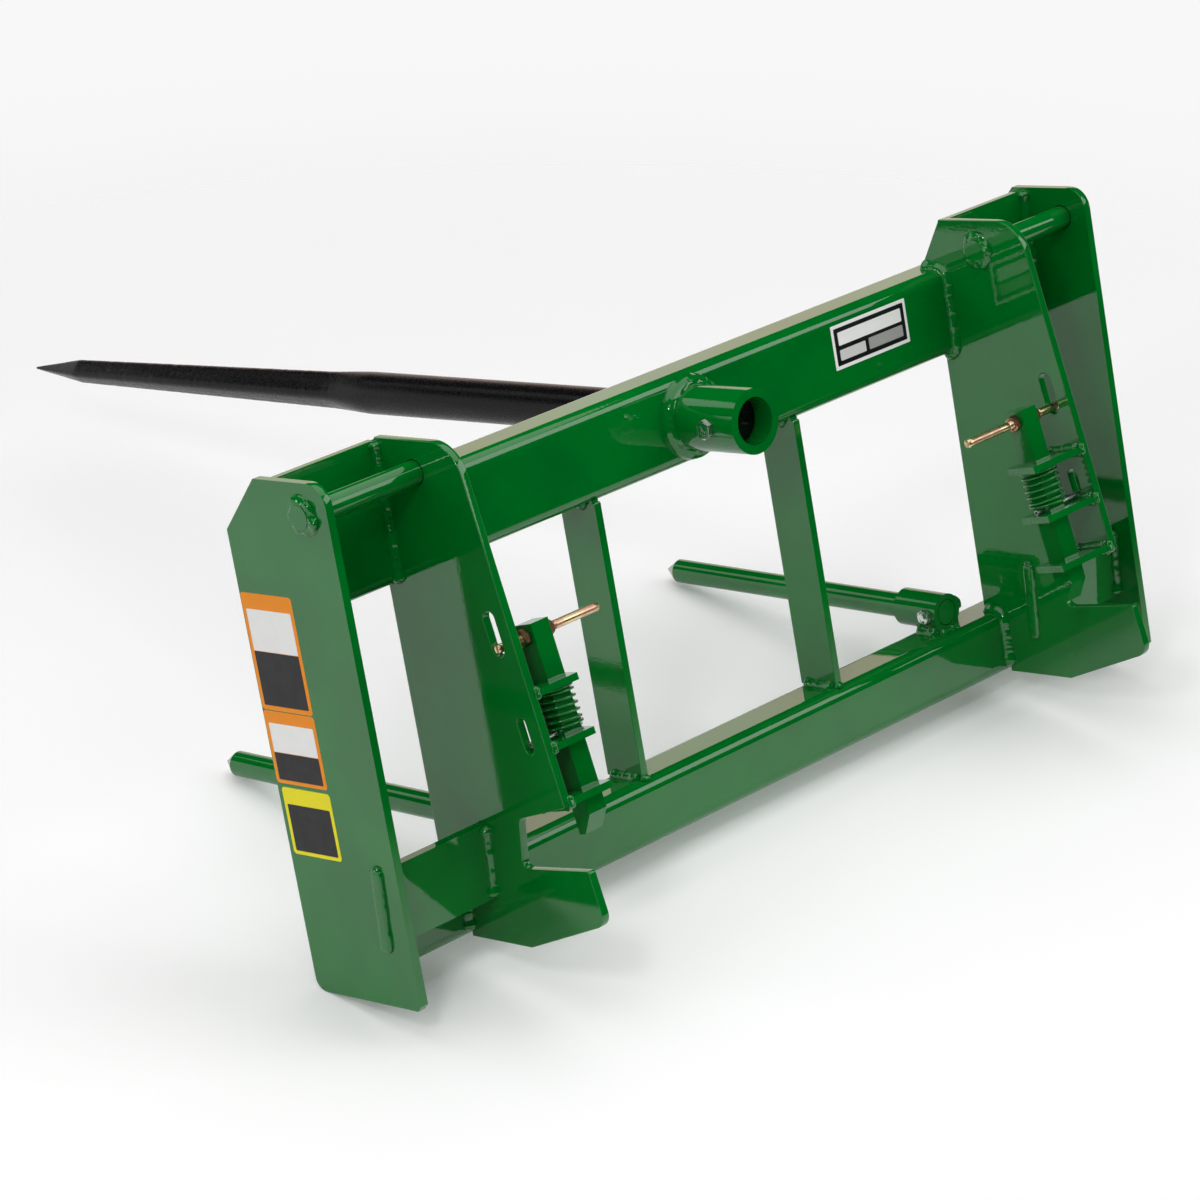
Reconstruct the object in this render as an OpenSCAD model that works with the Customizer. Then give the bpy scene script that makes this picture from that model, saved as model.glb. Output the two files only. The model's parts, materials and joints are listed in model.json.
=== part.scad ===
// Round bale spear frame for a loader: a welded carrier with one long spear, two stabiliser
// spears, two hook bars that hang on the loader and two sprung latches that lock it there.
// Bench datum: x = 0 on the middle plane, y = 0 on the front edge of the outer plates (+y is
// the way the spears point), z = 0 on their bottom edge. The finished part's origin lies on the
// common axis of the two hook bars, on the middle plane.

/* [Carrier] */
// Width over the two outer side plates
frame_w = 1166; // [1000:2:1400]
// Clear width between the two side plates of a pair
pair_gap = 138; // [110:1:180]
// Thickness of every side plate
plate_t = 9.5; // [6:0.5:14]
// Height of the side plates
plate_h = 549; // [530:1:620]
// Clearance between pieces that are fitted and then welded
fit_gap = 0.2; // [0.1:0.1:0.5]

/* [Outer side plates] */
// Depth of the outer plate, front to rear
outer_depth = 160; // [140:1:200]
// Size of the 45 degree cut on the top front corner
outer_chamfer = 56; // [30:1:80]
// Radius of the top rear corner
outer_top_r = 24; // [10:1:50]
// Radius of the bottom front corner
outer_toe_r = 14; // [6:1:30]
// Size of the cut on the bottom rear corner
outer_heel_cut = 6; // [2:1:20]

/* [Inner side plates] */
// Distance of the top rear corner behind the datum
inner_rear = 187; // [175:1:210]
// Radius of the top rear corner
inner_top_r = 40; // [15:1:60]
// Slope of the rear edge and of the latch, from the vertical
latch_tilt = 10.75; // [8:0.25:13]
// How far the front edge lies behind the datum
inner_front = 53; // [45:1:62]
// How far the plate's nose over the upper tube lies behind the datum
nose_front = 36; // [25:1:45]
// Depth of the sloped cut on the nose
nose_cut = 36; // [20:1:50]
// Distance below the plates' top at which the rear edge ends and the pin notch starts
heel_drop = 373; // [364:1:380]
// Distance of the notch's roof below the plates' top, at its throat
roof_drop = 393; // [385:1:399]
// Distance of the notch's throat behind the datum
throat_y = 186; // [175:1:195]
// Distance of the notch's floor below the plates' top, at its throat
floor_drop = 448; // [441:1:457]
// Reach of the hook arm behind the datum
arm_reach = 276; // [260:1:290]
// Distance of the hook arm's upper corner below the plates' top
arm_top_drop = 438; // [431:1:444]
// Distance of the hook arm's lower corner below the plates' top
arm_low_drop = 494; // [484:1:504]
// Radius of the hook arm's lower corner
arm_r = 15; // [5:1:25]
// Distance behind the datum at which the arm's sloped underside starts
arm_root = 170; // [140:1:200]
// Radius inside the notch's throat
throat_r = 8; // [3:1:15]

/* [Cross tubes] */
// Depth of the upper tube
upper_tube_d = 58.5; // [50:0.5:70]
// Height of the upper tube
upper_tube_h = 98; // [80:1:120]
// Distance of the upper tube's front face behind the datum
upper_tube_front = 13; // [8:1:20]
// Distance of the upper tube's top below the side plates' top
upper_tube_drop = 56.5; // [40:0.5:80]
// Depth of the lower tube
lower_tube_d = 64; // [50:0.5:75]
// Height of the lower tube
lower_tube_h = 72; // [60:1:90]
// Distance of the lower tube's front face behind the datum
lower_tube_front = 16.5; // [8:0.5:24]
// Height of the lower tube's underside
lower_tube_z = 14.5; // [8:0.5:25]
// Corner radius of both tubes
tube_r = 13; // [8:1:18]
// Wall of both tubes
tube_wall = 6; // [4:0.5:9]

/* [Upright bars] */
// Distance between the middle planes of the two bars
upright_pitch = 309; // [220:1:420]
// Thickness of a bar
upright_t = 9.5; // [6:0.5:14]
// Depth of a bar, front to rear
upright_d = 53; // [40:1:56]

/* [Hook bars and back plates] */
// Diameter of the round bars that hang on the loader's hooks
hook_bar_d = 25.4; // [20:0.1:32]
// Distance of their axis behind the datum
hook_bar_y = 124; // [110:1:135]
// Distance of their axis below the side plates' top
hook_bar_drop = 33.5; // [29:0.5:49]
// How far a bar's end stands out of its plate
hook_bar_end = 7; // [3:0.5:12]
// Thickness of the upright plate between the plates of a pair
back_plate_t = 9.5; // [6:0.5:12]
// How far that plate's top edge lies below the side plates' top edge
back_plate_drop = 3; // [0:0.5:12]

/* [Stop bars] */
// Height of the flat bar that the loader bears on
stop_bar_h = 82; // [60:1:100]
// Thickness of that bar
stop_bar_t = 10; // [6:0.5:14]
// Distance of its rear face behind the datum, at mid height
stop_bar_y = 131; // [120:1:140]
// Height of its middle
stop_bar_z = 104; // [95:1:115]
// Lean of its rear face from the vertical
stop_bar_tilt = 4; // [0:0.5:8]

/* [Main spear and socket] */
// Outer diameter of the socket
socket_od = 71; // [64:0.5:80]
// Bore of the socket
socket_bore = 51.5; // [50.5:0.5:56]
// How far the socket stands out behind the upper tube
socket_out = 95; // [70:1:120]
// How far the socket stands out in front of the upper tube
socket_front = 8; // [3:1:20]
// Size of the ring weld round the socket
socket_weld = 11; // [6:1:16]
// Diameter of the spear's shank
spear_d = 49; // [44:0.5:50]
// Length of the spear
spear_len = 1228; // [900:2:1400]
// How far the spear's rear end lies inside the socket's mouth
spear_inset = 23; // [10:1:28]
// Length of the round shank
spear_shank = 580; // [400:5:640]
// Length over which the round shank turns into the four sided blade
spear_blend = 90; // [40:5:140]
// Height across the blade's flats where it starts
blade_root = 39; // [30:0.5:44]
// Height across the blade's flats at the point
blade_tip = 26; // [18:0.5:28]
// Length of the point
point_len = 92; // [60:2:140]
// Diameter of the cross bolts
bolt_d = 12; // [8:0.5:16]
// Distance of the main spear's bolt in front of the socket's mouth
spear_bolt_in = 37; // [33:0.5:55]

/* [Stabiliser spears] */
// Distance of a stabiliser's axis inwards of the inner side plate
stabiliser_inset = 73.5; // [50:0.5:120]
// Diameter of a stabiliser
stabiliser_d = 28.6; // [24:0.1:34]
// Length of a stabiliser, from its collar's rear end to its point
stabiliser_len = 447; // [300:1:600]
// Length of its conical point
stabiliser_tip = 21; // [10:1:40]
// Upward slope of the stabilisers
stabiliser_tilt = 2; // [0:0.5:5]
// Outer diameter of a collar
collar_od = 43; // [38:0.5:50]
// Length of a collar
collar_len = 62; // [45:1:80]
// Distance of a collar's rear end behind the datum
collar_rear = 63; // [55:1:70]
// Clearance all round a stabiliser in its collar
collar_gap = 0.8; // [0.4:0.1:1.2]
// Distance of the stabiliser's bolt in front of the collar's rear end
collar_bolt_in = 13; // [11:0.5:20]

/* [Latches] */
// Side of the square latch bar
latch_bar_w = 24; // [20:0.5:26]
// Length of the latch bar
latch_bar_len = 221; // [200:1:240]
// How far the bar stands up past the handle's axis
latch_bar_top = 12.5; // [11:0.5:20]
// Clear gap between the left inner plate and its latch bar
left_latch_gap = 30; // [26:0.5:40]
// Clear gap between the right inner plate and its latch bar
right_latch_gap = 39; // [30:0.5:45]
// Distance of the bar's axis in front of the plate's rear edge
latch_inset = 25.5; // [22:0.5:30]
// Distance of the handle's axis below the top of the side plates
latch_drop = 211.5; // [205:0.5:218]
// Way that a latch lifts against its spring
latch_travel = 21; // [10:0.5:21.5]
// Diameter of the handle rod
handle_d = 9.5; // [7:0.5:12]
// Length of the left handle inwards of its latch bar
left_handle_reach = 76; // [50:1:90]
// Length of the right handle inwards of its latch bar
right_handle_reach = 84; // [50:1:90]
// Width across the flats of the handle's nuts
nut_af = 16; // [13:0.5:19]
// Thickness of the handle's nuts
nut_t = 8.5; // [5:0.5:11]
// Diameter of the roll pin under the spring
pin_d = 6.4; // [5:0.1:8]
// Bore of the roll pin
pin_bore = 3.2; // [2:0.1:4]
// How far the roll pin stands out of the latch bar on its inner side
pin_out = 10; // [8:0.5:14]

/* [Latch guides] */
// Thickness of the three guides of a latch
guide_t = 7.5; // [5:0.5:10]
// Depth of a guide
guide_d = 51; // [44:0.5:56]
// Mean length of the left guides
left_guide_len = 64; // [60:0.5:80]
// Mean length of the right guides
right_guide_len = 78; // [70:0.5:95]
// How far a guide's slanted end runs sideways over its depth
guide_slant = 12; // [0:1:16]
// Distance of the top guide's upper face below the handle's axis
guide_top = 48.5; // [46:0.5:52]
// Spacing of the guides
guide_pitch = 57; // [50:0.5:62]
// Running clearance between a latch bar and its guides, on each side
guide_gap = 0.6; // [0.3:0.1:1]

/* [Latch springs] */
// Diameter of the spring wire
wire_d = 2.8; // [2:0.1:3.5]
// Mean diameter of a spring's coils
coil_d = 40; // [38.5:0.5:42]
// Turns of a spring
coil_turns = 7.25; // [5:0.25:8]

/* [Hidden] */
$fn = 64;

LEFT = 0;
RIGHT = 1;
overshoot = 1;

// Side planes, as distances from the middle plane
outer_face = frame_w / 2;
outer_in = outer_face - plate_t;
inner_out = outer_in - pair_gap;
inner_in = inner_out - plate_t;

// Heights, those of the hooks' side being measured down from the side plates' top
hook_bar_z = plate_h - hook_bar_drop;
upper_top = plate_h - upper_tube_drop;
upper_tube_z = upper_top - upper_tube_h;
upper_mid_z = upper_top - upper_tube_h / 2;
heel_z = plate_h - heel_drop;
roof_z = plate_h - roof_drop;
floor_z = plate_h - floor_drop;
arm_top_z = plate_h - arm_top_drop;
arm_low_z = plate_h - arm_low_drop;

// Lean of the notch's end and of the hook arm's end, and the radius of the arm's upper corner
throat_lean = 1 / 7;
arm_lean = 1 / 5;
arm_top_r = 3;

// Welds: the bulge of a fillet's face, and the legs of those that the solids carry
weld_bulge = 0.86;
ring_setback = 2;
back_weld = 6;
slot_weld = 3;

// Cross tubes
upper_rear = -upper_tube_front - upper_tube_d;
lower_rear = -lower_tube_front - lower_tube_d;
lower_top = lower_tube_z + lower_tube_h;
upright_y = (upper_rear - upper_tube_front + lower_rear - lower_tube_front) / 4;

// Latch frame: its z axis runs up along the bar and its y axis points forward
latch_slope = tan(latch_tilt);
handle_z = plate_h - latch_drop;
handle_y = -inner_rear - latch_drop * latch_slope + latch_inset / cos(latch_tilt);
latch_gap = [left_latch_gap, right_latch_gap];
guide_len = [left_guide_len, right_guide_len];
handle_reach = [left_handle_reach, right_handle_reach];
slant_way = [1, -1];
latch_foot = latch_bar_top - latch_bar_len;
foot_cut = 15;
foot_cut_h = 20;
slot_w = 17;
slot_travel = 31;
pin_slot_w = 10;
pin_slot_play = 2.5;
pin_slot_free = 20;
seat_gap = 0.3;
end_climb = 0.14;
pin_s = -guide_top - guide_pitch + seat_gap + pin_d / 2;
pin_slot_top = pin_s + latch_travel + pin_slot_free;
spring_low = pin_s + pin_d / 2 + seat_gap;
spring_high = -guide_top - guide_t - seat_gap;
handle_past = 1.5;
handle_chamfer = 1.5;

// Main spear and stabilisers
socket_mouth = upper_rear - socket_out;
socket_len = socket_out + upper_tube_d + socket_front;
bolt_head_af = 19;
bolt_head_h = 7.5;
bolt_nut_h = 10;
bolt_past = 2;
bolt_hole_gap = 0.3;
collar_z = lower_top + collar_od / 2 + seat_gap;
saddle_w = collar_od * 0.8;
stabiliser_x = inner_in - stabiliser_inset;

// Section of the spear's blade: how far the corners stand out, and how far the flats lie in
spear_n = 32;
blade_corner = 0.17;
blade_flat = 0.05;
seam = 0.05;
seam_overlap = 2;

// Steps of a spring's wire: points round the wire and sections in a turn
wire_n = 8;
coil_steps = 20;

function unit(v) = v / norm(v);

// Turn of the outline at a corner: positive where it bulges outwards
function turn(p, q, s) = (q[0] - p[0]) * (s[1] - q[1]) - (q[1] - p[1]) * (s[0] - q[0]);

// The two ends of the arc of radius r at corner q, and the arc's centre
function half_angle(p, q, s) = acos(unit(p - q) * unit(s - q)) / 2;
function arc_ends(p, q, s, r) =
  let (t = r / tan(half_angle(p, q, s))) [q + unit(p - q) * t, q + unit(s - q) * t];
function arc_centre(p, q, s, r) =
  q + unit(unit(p - q) + unit(s - q)) * r / sin(half_angle(p, q, s));

// Outline through corners of the form [point, radius], anticlockwise, with true arcs
module rounded_outline(corners) {
  n = len(corners);
  before = [for (i = [0 : n - 1]) corners[(i + n - 1) % n][0]];
  at = [for (i = [0 : n - 1]) corners[i][0]];
  after = [for (i = [0 : n - 1]) corners[(i + 1) % n][0]];
  radius = [for (i = [0 : n - 1]) corners[i][1]];
  bulge = [for (i = [0 : n - 1]) turn(before[i], at[i], after[i]) > 0];
  difference() {
    union() {
      polygon([for (i = [0 : n - 1])
        each radius[i] > 0 ? arc_ends(before[i], at[i], after[i], radius[i]) : [at[i]]]);
      for (i = [0 : n - 1])
        if (radius[i] > 0 && bulge[i])
          translate(arc_centre(before[i], at[i], after[i], radius[i])) circle(r = radius[i]);
    }
    for (i = [0 : n - 1])
      if (radius[i] > 0 && !bulge[i])
        translate(arc_centre(before[i], at[i], after[i], radius[i])) circle(r = radius[i]);
  }
}

// Rectangle from its low corner, with round corners
module rounded_box(low, size, r) {
  rounded_outline([[low, r], [low + [size[0], 0], r], [low + size, r], [low + [0, size[1]], r]]);
}

// Stands a side view up, its x as y and its y as z, and extrudes it from x = a to x = b
module across(a, b) {
  translate([a, 0, 0]) rotate([90, 0, 90]) linear_extrude(b - a) children();
}

// Rod along x from a to b at height z and depth y
module rod_across(a, b, y, z, d) {
  translate([a, y, z]) rotate([0, 90, 0]) cylinder(d = d, h = b - a);
}

// Slot with round ends between two points
module slot_outline(low, high, w) {
  along = unit(high - low);
  side = [-along[1], along[0]] * w / 2;
  translate(low) circle(d = w);
  translate(high) circle(d = w);
  polygon([low + side, low - side, high - side, high + side]);
}

// Moves the bench datum to the part's origin on the hook bars' axis
module framed() {
  translate([0, hook_bar_y, -hook_bar_z]) children();
}

// Draws a piece made for the right side on the side asked for
module on_side(side) {
  framed() mirror([side == LEFT ? 1 : 0, 0, 0]) children();
}

// Places a piece made in the latch frame
module in_latch(side) {
  on_side(side) translate([0, handle_y, handle_z]) rotate([-latch_tilt, 0, 0]) children();
}

// Point of the latch frame as seen from the side
function latch_point(y, s) = [
  handle_y + y * cos(latch_tilt) + s * sin(latch_tilt),
  handle_z - y * sin(latch_tilt) + s * cos(latch_tilt)
];

// Distance of a latch bar's middle plane from the frame's middle plane
function latch_x(side) = inner_in - latch_gap[side] - latch_bar_w / 2;

// Cross tubes

module tube_outline(front, z, d, h, cut = 0) {
  rounded_box([-front - d + cut, z + cut], [d - 2 * cut, h - 2 * cut], tube_r - cut);
}

module cross_tube(front, z, d, h) {
  color("#0d6b22") difference() {
    across(-outer_in, outer_in) tube_outline(front, z, d, h);
    across(-outer_in - overshoot, outer_in + overshoot) tube_outline(front, z, d, h, tube_wall);
    children();
  }
}

module upper_cross_tube() {
  framed() cross_tube(upper_tube_front, upper_tube_z, upper_tube_d, upper_tube_h)
    translate([0, upper_rear - overshoot, upper_mid_z]) rotate([-90, 0, 0])
      cylinder(d = socket_od + 2 * fit_gap, h = upper_tube_d + 2 * overshoot);
}

module lower_cross_tube() {
  framed() cross_tube(lower_tube_front, lower_tube_z, lower_tube_d, lower_tube_h);
}

// Upright bars between the tubes, standing on edge
module upright_bar(side) {
  on_side(side) color("#0d6b22")
    translate([upright_pitch / 2 - upright_t / 2, upright_y - upright_d / 2, lower_top])
      cube([upright_t, upright_d, upper_tube_z - lower_top]);
}

// Side plates

module stop_bar_outline(grow = 0) {
  translate([-stop_bar_y, stop_bar_z]) rotate(stop_bar_tilt)
    translate([-grow, -stop_bar_h / 2 - grow])
      square([stop_bar_t + 2 * grow, stop_bar_h + 2 * grow]);
}

module outer_plate(side) {
  on_side(side) color("#0d6b22") across(outer_in, outer_face) difference() {
    rounded_outline([
      [[0, 0], outer_toe_r],
      [[0, plate_h - outer_chamfer], 0],
      [[-outer_chamfer, plate_h], 0],
      [[-outer_depth, plate_h], outer_top_r],
      [[-outer_depth, outer_heel_cut], 0],
      [[outer_heel_cut - outer_depth, 0], 0]
    ]);
    translate([-hook_bar_y, hook_bar_z]) circle(d = hook_bar_d + 2 * fit_gap);
    stop_bar_outline(fit_gap);
  }
}

// Rear edge's depth at a height, and the corners of the inner plate's outline
function rear_edge(z) = -inner_rear - (plate_h - z) * latch_slope;
function inner_corners() = [
  [[-arm_root, lower_tube_z], 0],
  [[lower_rear - fit_gap, lower_tube_z], 0],
  [[lower_rear - fit_gap, lower_top + fit_gap], tube_r + fit_gap],
  [[-inner_front, lower_top + fit_gap], 0],
  [[-inner_front, upper_tube_z - fit_gap], 0],
  [[upper_rear - fit_gap, upper_tube_z - fit_gap], tube_r + fit_gap],
  [[upper_rear - fit_gap, upper_top + fit_gap], tube_r + fit_gap],
  [[-nose_front, upper_top + fit_gap], 0],
  [[-nose_front - nose_cut, plate_h], 0],
  [[-inner_rear, plate_h], inner_top_r],
  [[rear_edge(heel_z), heel_z], 0],
  [[-throat_y, roof_z], throat_r],
  [[-throat_y + (roof_z - floor_z) * throat_lean, floor_z], throat_r],
  [[-arm_reach, arm_top_z], arm_top_r],
  [[-arm_reach - (arm_top_z - arm_low_z) * arm_lean, arm_low_z], arm_r]
];

module inner_plate(side) {
  on_side(side) color("#0d6b22") across(inner_in, inner_out) difference() {
    rounded_outline(inner_corners());
    translate([-hook_bar_y, hook_bar_z]) circle(d = hook_bar_d + 2 * fit_gap);
    stop_bar_outline(fit_gap);
    slot_outline(latch_point(0, 0), latch_point(0, slot_travel), slot_w);
    slot_outline(latch_point(0, pin_s - pin_slot_play), latch_point(0, pin_slot_top), pin_slot_w);
  }
}

// Section of a fillet weld with a bulging face, in the corner of the axes
module weld_section(leg) {
  polygon([[0, 0], [leg, 0], [leg * weld_bulge, leg / 2], [leg / 2, leg * weld_bulge], [0, leg]]);
}

// Ring weld round a bar of diameter d, on the plane z = 0
module ring_weld(d, leg) {
  rotate_extrude() translate([d / 2, 0]) weld_section(leg);
}

// Upright plate between the plates of a pair, coped over the upper tube's rear corner. The
// welds in its rear corners run on down the tube.
module back_plate(side) {
  top = plate_h - back_plate_drop;
  on_side(side) color("#0d6b22") {
    across(inner_out, outer_in) difference() {
      translate([upper_rear, upper_top - tube_r / 2])
        square([back_plate_t, top - upper_top + tube_r / 2]);
      rounded_box([upper_rear - fit_gap, upper_tube_z],
        [upper_tube_d, upper_tube_h + fit_gap], tube_r + fit_gap);
    }
    translate([inner_out, upper_rear, upper_tube_z + tube_r]) mirror([0, 1, 0])
      linear_extrude(top - upper_tube_z - tube_r) weld_section(back_weld);
    translate([outer_in, upper_rear, upper_tube_z + tube_r]) rotate([0, 0, 180])
      linear_extrude(top - upper_tube_z - tube_r) weld_section(back_weld);
  }
}

module hook_bar(side) {
  weld = hook_bar_end - ring_setback;
  on_side(side) color("#0d6b22") translate([0, -hook_bar_y, hook_bar_z]) {
    rod_across(inner_in - hook_bar_end, outer_face + hook_bar_end, 0, 0, hook_bar_d);
    translate([outer_face, 0, 0]) rotate([0, 90, 0]) ring_weld(hook_bar_d, weld);
    translate([inner_in, 0, 0]) rotate([0, -90, 0]) ring_weld(hook_bar_d, weld);
  }
}

// Flat bar through slots in both plates of a pair, with the weld that closes each slot
module stop_bar(side) {
  on_side(side) color("#0d6b22") {
    across(inner_in, outer_face) stop_bar_outline();
    across(outer_face, outer_face + slot_weld) stop_bar_outline(slot_weld / 2);
    across(inner_in - slot_weld, inner_in) stop_bar_outline(slot_weld / 2);
  }
}

// Main spear and its socket

module spear_socket() {
  framed() color("#0d6b22") translate([0, 0, upper_mid_z]) {
    difference() {
      union() {
        translate([0, socket_mouth, 0]) rotate([-90, 0, 0]) cylinder(d = socket_od, h = socket_len);
        translate([0, upper_rear, 0]) rotate([90, 0, 0]) ring_weld(socket_od, socket_weld);
      }
      translate([0, socket_mouth - overshoot, 0]) rotate([-90, 0, 0])
        cylinder(d = socket_bore, h = socket_len + 2 * overshoot);
      rod_across(-socket_od, socket_od, socket_mouth + spear_bolt_in, 0, bolt_d + 2 * bolt_hole_gap);
    }
  }
}

// Section of the spear at a distance from its rear end: a circle of n points that is pulled
// towards a four sided blade with hollow flats, m being 0 on the shank and 1 on the blade
function ease(t) = t * t * (3 - 2 * t);
function clamp01(t) = min(1, max(0, t));
function blade_radius(a, r) = r * (1 + blade_corner * pow(abs(cos(2 * a)), 3) - blade_flat);
function spear_radius(a, r, m) = r * (1 - m) + blade_radius(a, r) * m;
function spear_half(y) =
  let (start = spear_shank + spear_blend, point = spear_len - point_len,
    t = clamp01((y - spear_shank) / spear_blend))
  y < start ? spear_d / 2 - seam + (blade_root - spear_d) / 2 * ease(t)
  : y < point ? (blade_root + (blade_tip - blade_root) * (y - start) / (point - start)) / 2
  : blade_tip / 2 * (1 - 0.9 * (y - point) / point_len);
function spear_ring(y) =
  let (r = spear_half(y), m = ease(clamp01((y - spear_shank) / spear_blend)))
  [for (i = [0 : spear_n - 1]) let (a = 360 * i / spear_n, q = spear_radius(a, r, m))
    [q * sin(a), y, q * cos(a)]];

// Closed skin over rings of n points each, the first and the last ring being filled in
function skin_faces(rings, n) = concat(
  [[for (i = [0 : n - 1]) i]],
  [[for (i = [n - 1 : -1 : 0]) (rings - 1) * n + i]],
  [for (k = [0 : rings - 2], i = [0 : n - 1])
    let (j = (i + 1) % n) each [[k * n + i, (k + 1) * n + i, (k + 1) * n + j],
      [k * n + i, (k + 1) * n + j, k * n + j]]]
);

module main_spear() {
  start = spear_shank - seam_overlap;
  blend = [for (t = [0 : 0.125 : 1]) spear_shank + spear_blend * t];
  stations = concat([start], blend, [spear_len - point_len, spear_len]);
  rings = [for (y = stations) each spear_ring(y)];
  framed() color("#2a2627") translate([0, socket_mouth + spear_inset, upper_mid_z]) {
    difference() {
      rotate([-90, 0, 0]) cylinder(d = spear_d, h = spear_shank);
      rod_across(-spear_d, spear_d, spear_bolt_in - spear_inset, 0, bolt_d + 2 * bolt_hole_gap);
    }
    polyhedron(rings, skin_faces(len(stations), spear_n));
  }
}

// Cross bolts: hexagon head on the left, nut on the right

module cross_bolt(y, z, half_width) {
  color("#a9ab97") translate([0, y, z]) {
    rod_across(-half_width, half_width + bolt_nut_h + bolt_past, 0, 0, bolt_d);
    translate([-half_width, 0, 0]) rotate([0, -90, 0])
      cylinder(d = bolt_head_af / cos(30), h = bolt_head_h, $fn = 6);
  }
}

module cross_nut(y, z, half_width) {
  color("#2f3a2f") translate([half_width, y, z]) rotate([0, 90, 0]) difference() {
    cylinder(d = bolt_head_af / cos(30), h = bolt_nut_h, $fn = 6);
    translate([0, 0, -overshoot])
      cylinder(d = bolt_d + 2 * fit_gap, h = bolt_nut_h + 2 * overshoot);
  }
}

module spear_bolt() {
  framed() cross_bolt(socket_mouth + spear_bolt_in, upper_mid_z, socket_od / 2);
}

module spear_nut() {
  framed() cross_nut(socket_mouth + spear_bolt_in, upper_mid_z, socket_od / 2);
}

// Stabilisers: made along +y from their collar's rear end, then tilted and placed
module on_stabiliser(side) {
  framed() translate([(side == LEFT ? -1 : 1) * stabiliser_x, -collar_rear, collar_z])
    rotate([stabiliser_tilt, 0, 0]) children();
}

module stabiliser(side) {
  on_stabiliser(side) color("#0d6b22") difference() {
    rotate([-90, 0, 0]) {
      cylinder(d = stabiliser_d, h = stabiliser_len - stabiliser_tip);
      translate([0, 0, stabiliser_len - stabiliser_tip])
        cylinder(d1 = stabiliser_d, d2 = 1, h = stabiliser_tip);
    }
    rod_across(-stabiliser_d, stabiliser_d, collar_bolt_in, 0, bolt_d + 2 * bolt_hole_gap);
  }
}

// Collar on the lower tube, with the saddle that its weld makes under it
module collar(side) {
  on_stabiliser(side) color("#0d6b22") difference() {
    union() {
      rotate([-90, 0, 0]) cylinder(d = collar_od, h = collar_len);
      rotate([-stabiliser_tilt, 0, 0]) translate([-saddle_w / 2, 0, lower_top - collar_z])
        cube([saddle_w, collar_rear - lower_tube_front - tube_r, collar_od / 4]);
    }
    translate([0, -overshoot, 0]) rotate([-90, 0, 0])
      cylinder(d = stabiliser_d + 2 * collar_gap, h = collar_len + 2 * overshoot);
    rod_across(-collar_od, collar_od, collar_bolt_in, 0, bolt_d + 2 * bolt_hole_gap);
  }
}

module stabiliser_bolt(side) {
  on_stabiliser(side) cross_bolt(collar_bolt_in, 0, collar_od / 2);
}

module stabiliser_nut(side) {
  on_stabiliser(side) cross_nut(collar_bolt_in, 0, collar_od / 2);
}

// Latches

// Guide welded to the inner plate, number 0 at the top
module guide(side, number) {
  mean = inner_in - guide_len[side];
  tip = slant_way[side] * guide_slant / 2;
  hole = latch_bar_w + 2 * guide_gap;
  in_latch(side) color("#0d6b22")
    translate([0, 0, -guide_top - number * guide_pitch - guide_t]) linear_extrude(guide_t)
      difference() {
        polygon([[inner_in, -latch_inset], [inner_in, guide_d - latch_inset],
          [mean - tip, guide_d - latch_inset], [mean + tip, -latch_inset]]);
        translate([latch_x(side) - hole / 2, -hole / 2]) square(hole);
      }
}

// Square bar with a bevelled foot, drilled for the handle and the roll pin
module latch_bar(side) {
  half = latch_bar_w / 2;
  in_latch(side) color("#0d6b22") difference() {
    across(latch_x(side) - half, latch_x(side) + half) polygon([
      [half, latch_foot], [half, latch_bar_top], [-half, latch_bar_top],
      [-half, latch_foot + foot_cut_h], [foot_cut - half, latch_foot]
    ]);
    rod_across(latch_x(side) - latch_bar_w, latch_x(side) + latch_bar_w, 0, 0,
      handle_d + 2 * fit_gap);
    rod_across(latch_x(side) - latch_bar_w, latch_x(side) + latch_bar_w, 0, pin_s,
      pin_d + 2 * fit_gap);
  }
}

module handle(side) {
  start = latch_x(side) - latch_bar_w / 2 - handle_reach[side];
  in_latch(side) color("#c9b27a") {
    rod_across(start + handle_chamfer, inner_out + handle_past, 0, 0, handle_d);
    translate([start, 0, 0]) rotate([0, 90, 0])
      cylinder(d1 = handle_d - 2 * handle_chamfer, d2 = handle_d, h = handle_chamfer);
  }
}

// Nut of the handle, from x outwards
module handle_nut(side, x) {
  in_latch(side) color("#b8955c") translate([x, 0, 0]) rotate([0, 90, 0]) difference() {
    cylinder(d = nut_af / cos(30), h = nut_t, $fn = 6);
    translate([0, 0, -overshoot]) cylinder(d = handle_d + 2 * fit_gap, h = nut_t + 2 * overshoot);
  }
}

module inner_nut(side) {
  handle_nut(side, latch_x(side) - latch_bar_w / 2 - nut_t);
}

module outer_nut(side) {
  handle_nut(side, latch_x(side) + latch_bar_w / 2);
}

module roll_pin(side) {
  start = latch_x(side) - latch_bar_w / 2 - pin_out;
  in_latch(side) color("#c8cacc") difference() {
    rod_across(start, inner_out - plate_t / 3, 0, pin_s, pin_d);
    rod_across(start - overshoot, inner_out + overshoot, 0, pin_s, pin_bore);
  }
}

// Compression spring round the bar: the wire's centre climbs evenly, with a flat end turn at
// each end
function coil_rise(t, turns) = clamp01((t - 1) / (turns - 2));
module coil(low, high, turns) {
  count = floor(turns * coil_steps);
  climb = high - low - wire_d;
  slope_at = [for (k = [0 : count]) let (t = k / coil_steps)
    low + wire_d / 2 + climb * (coil_rise(t, turns) * (1 - end_climb) + end_climb * t / turns)];
  points = [for (k = [0 : count], i = [0 : wire_n - 1])
    let (a = 360 * k / coil_steps, b = 360 * i / wire_n,
      r = coil_d / 2 + wire_d / 2 * cos(b))
    [r * cos(a), r * sin(a), slope_at[k] + wire_d / 2 * sin(b)]];
  polyhedron(points, skin_faces(count + 1, wire_n));
}

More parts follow.
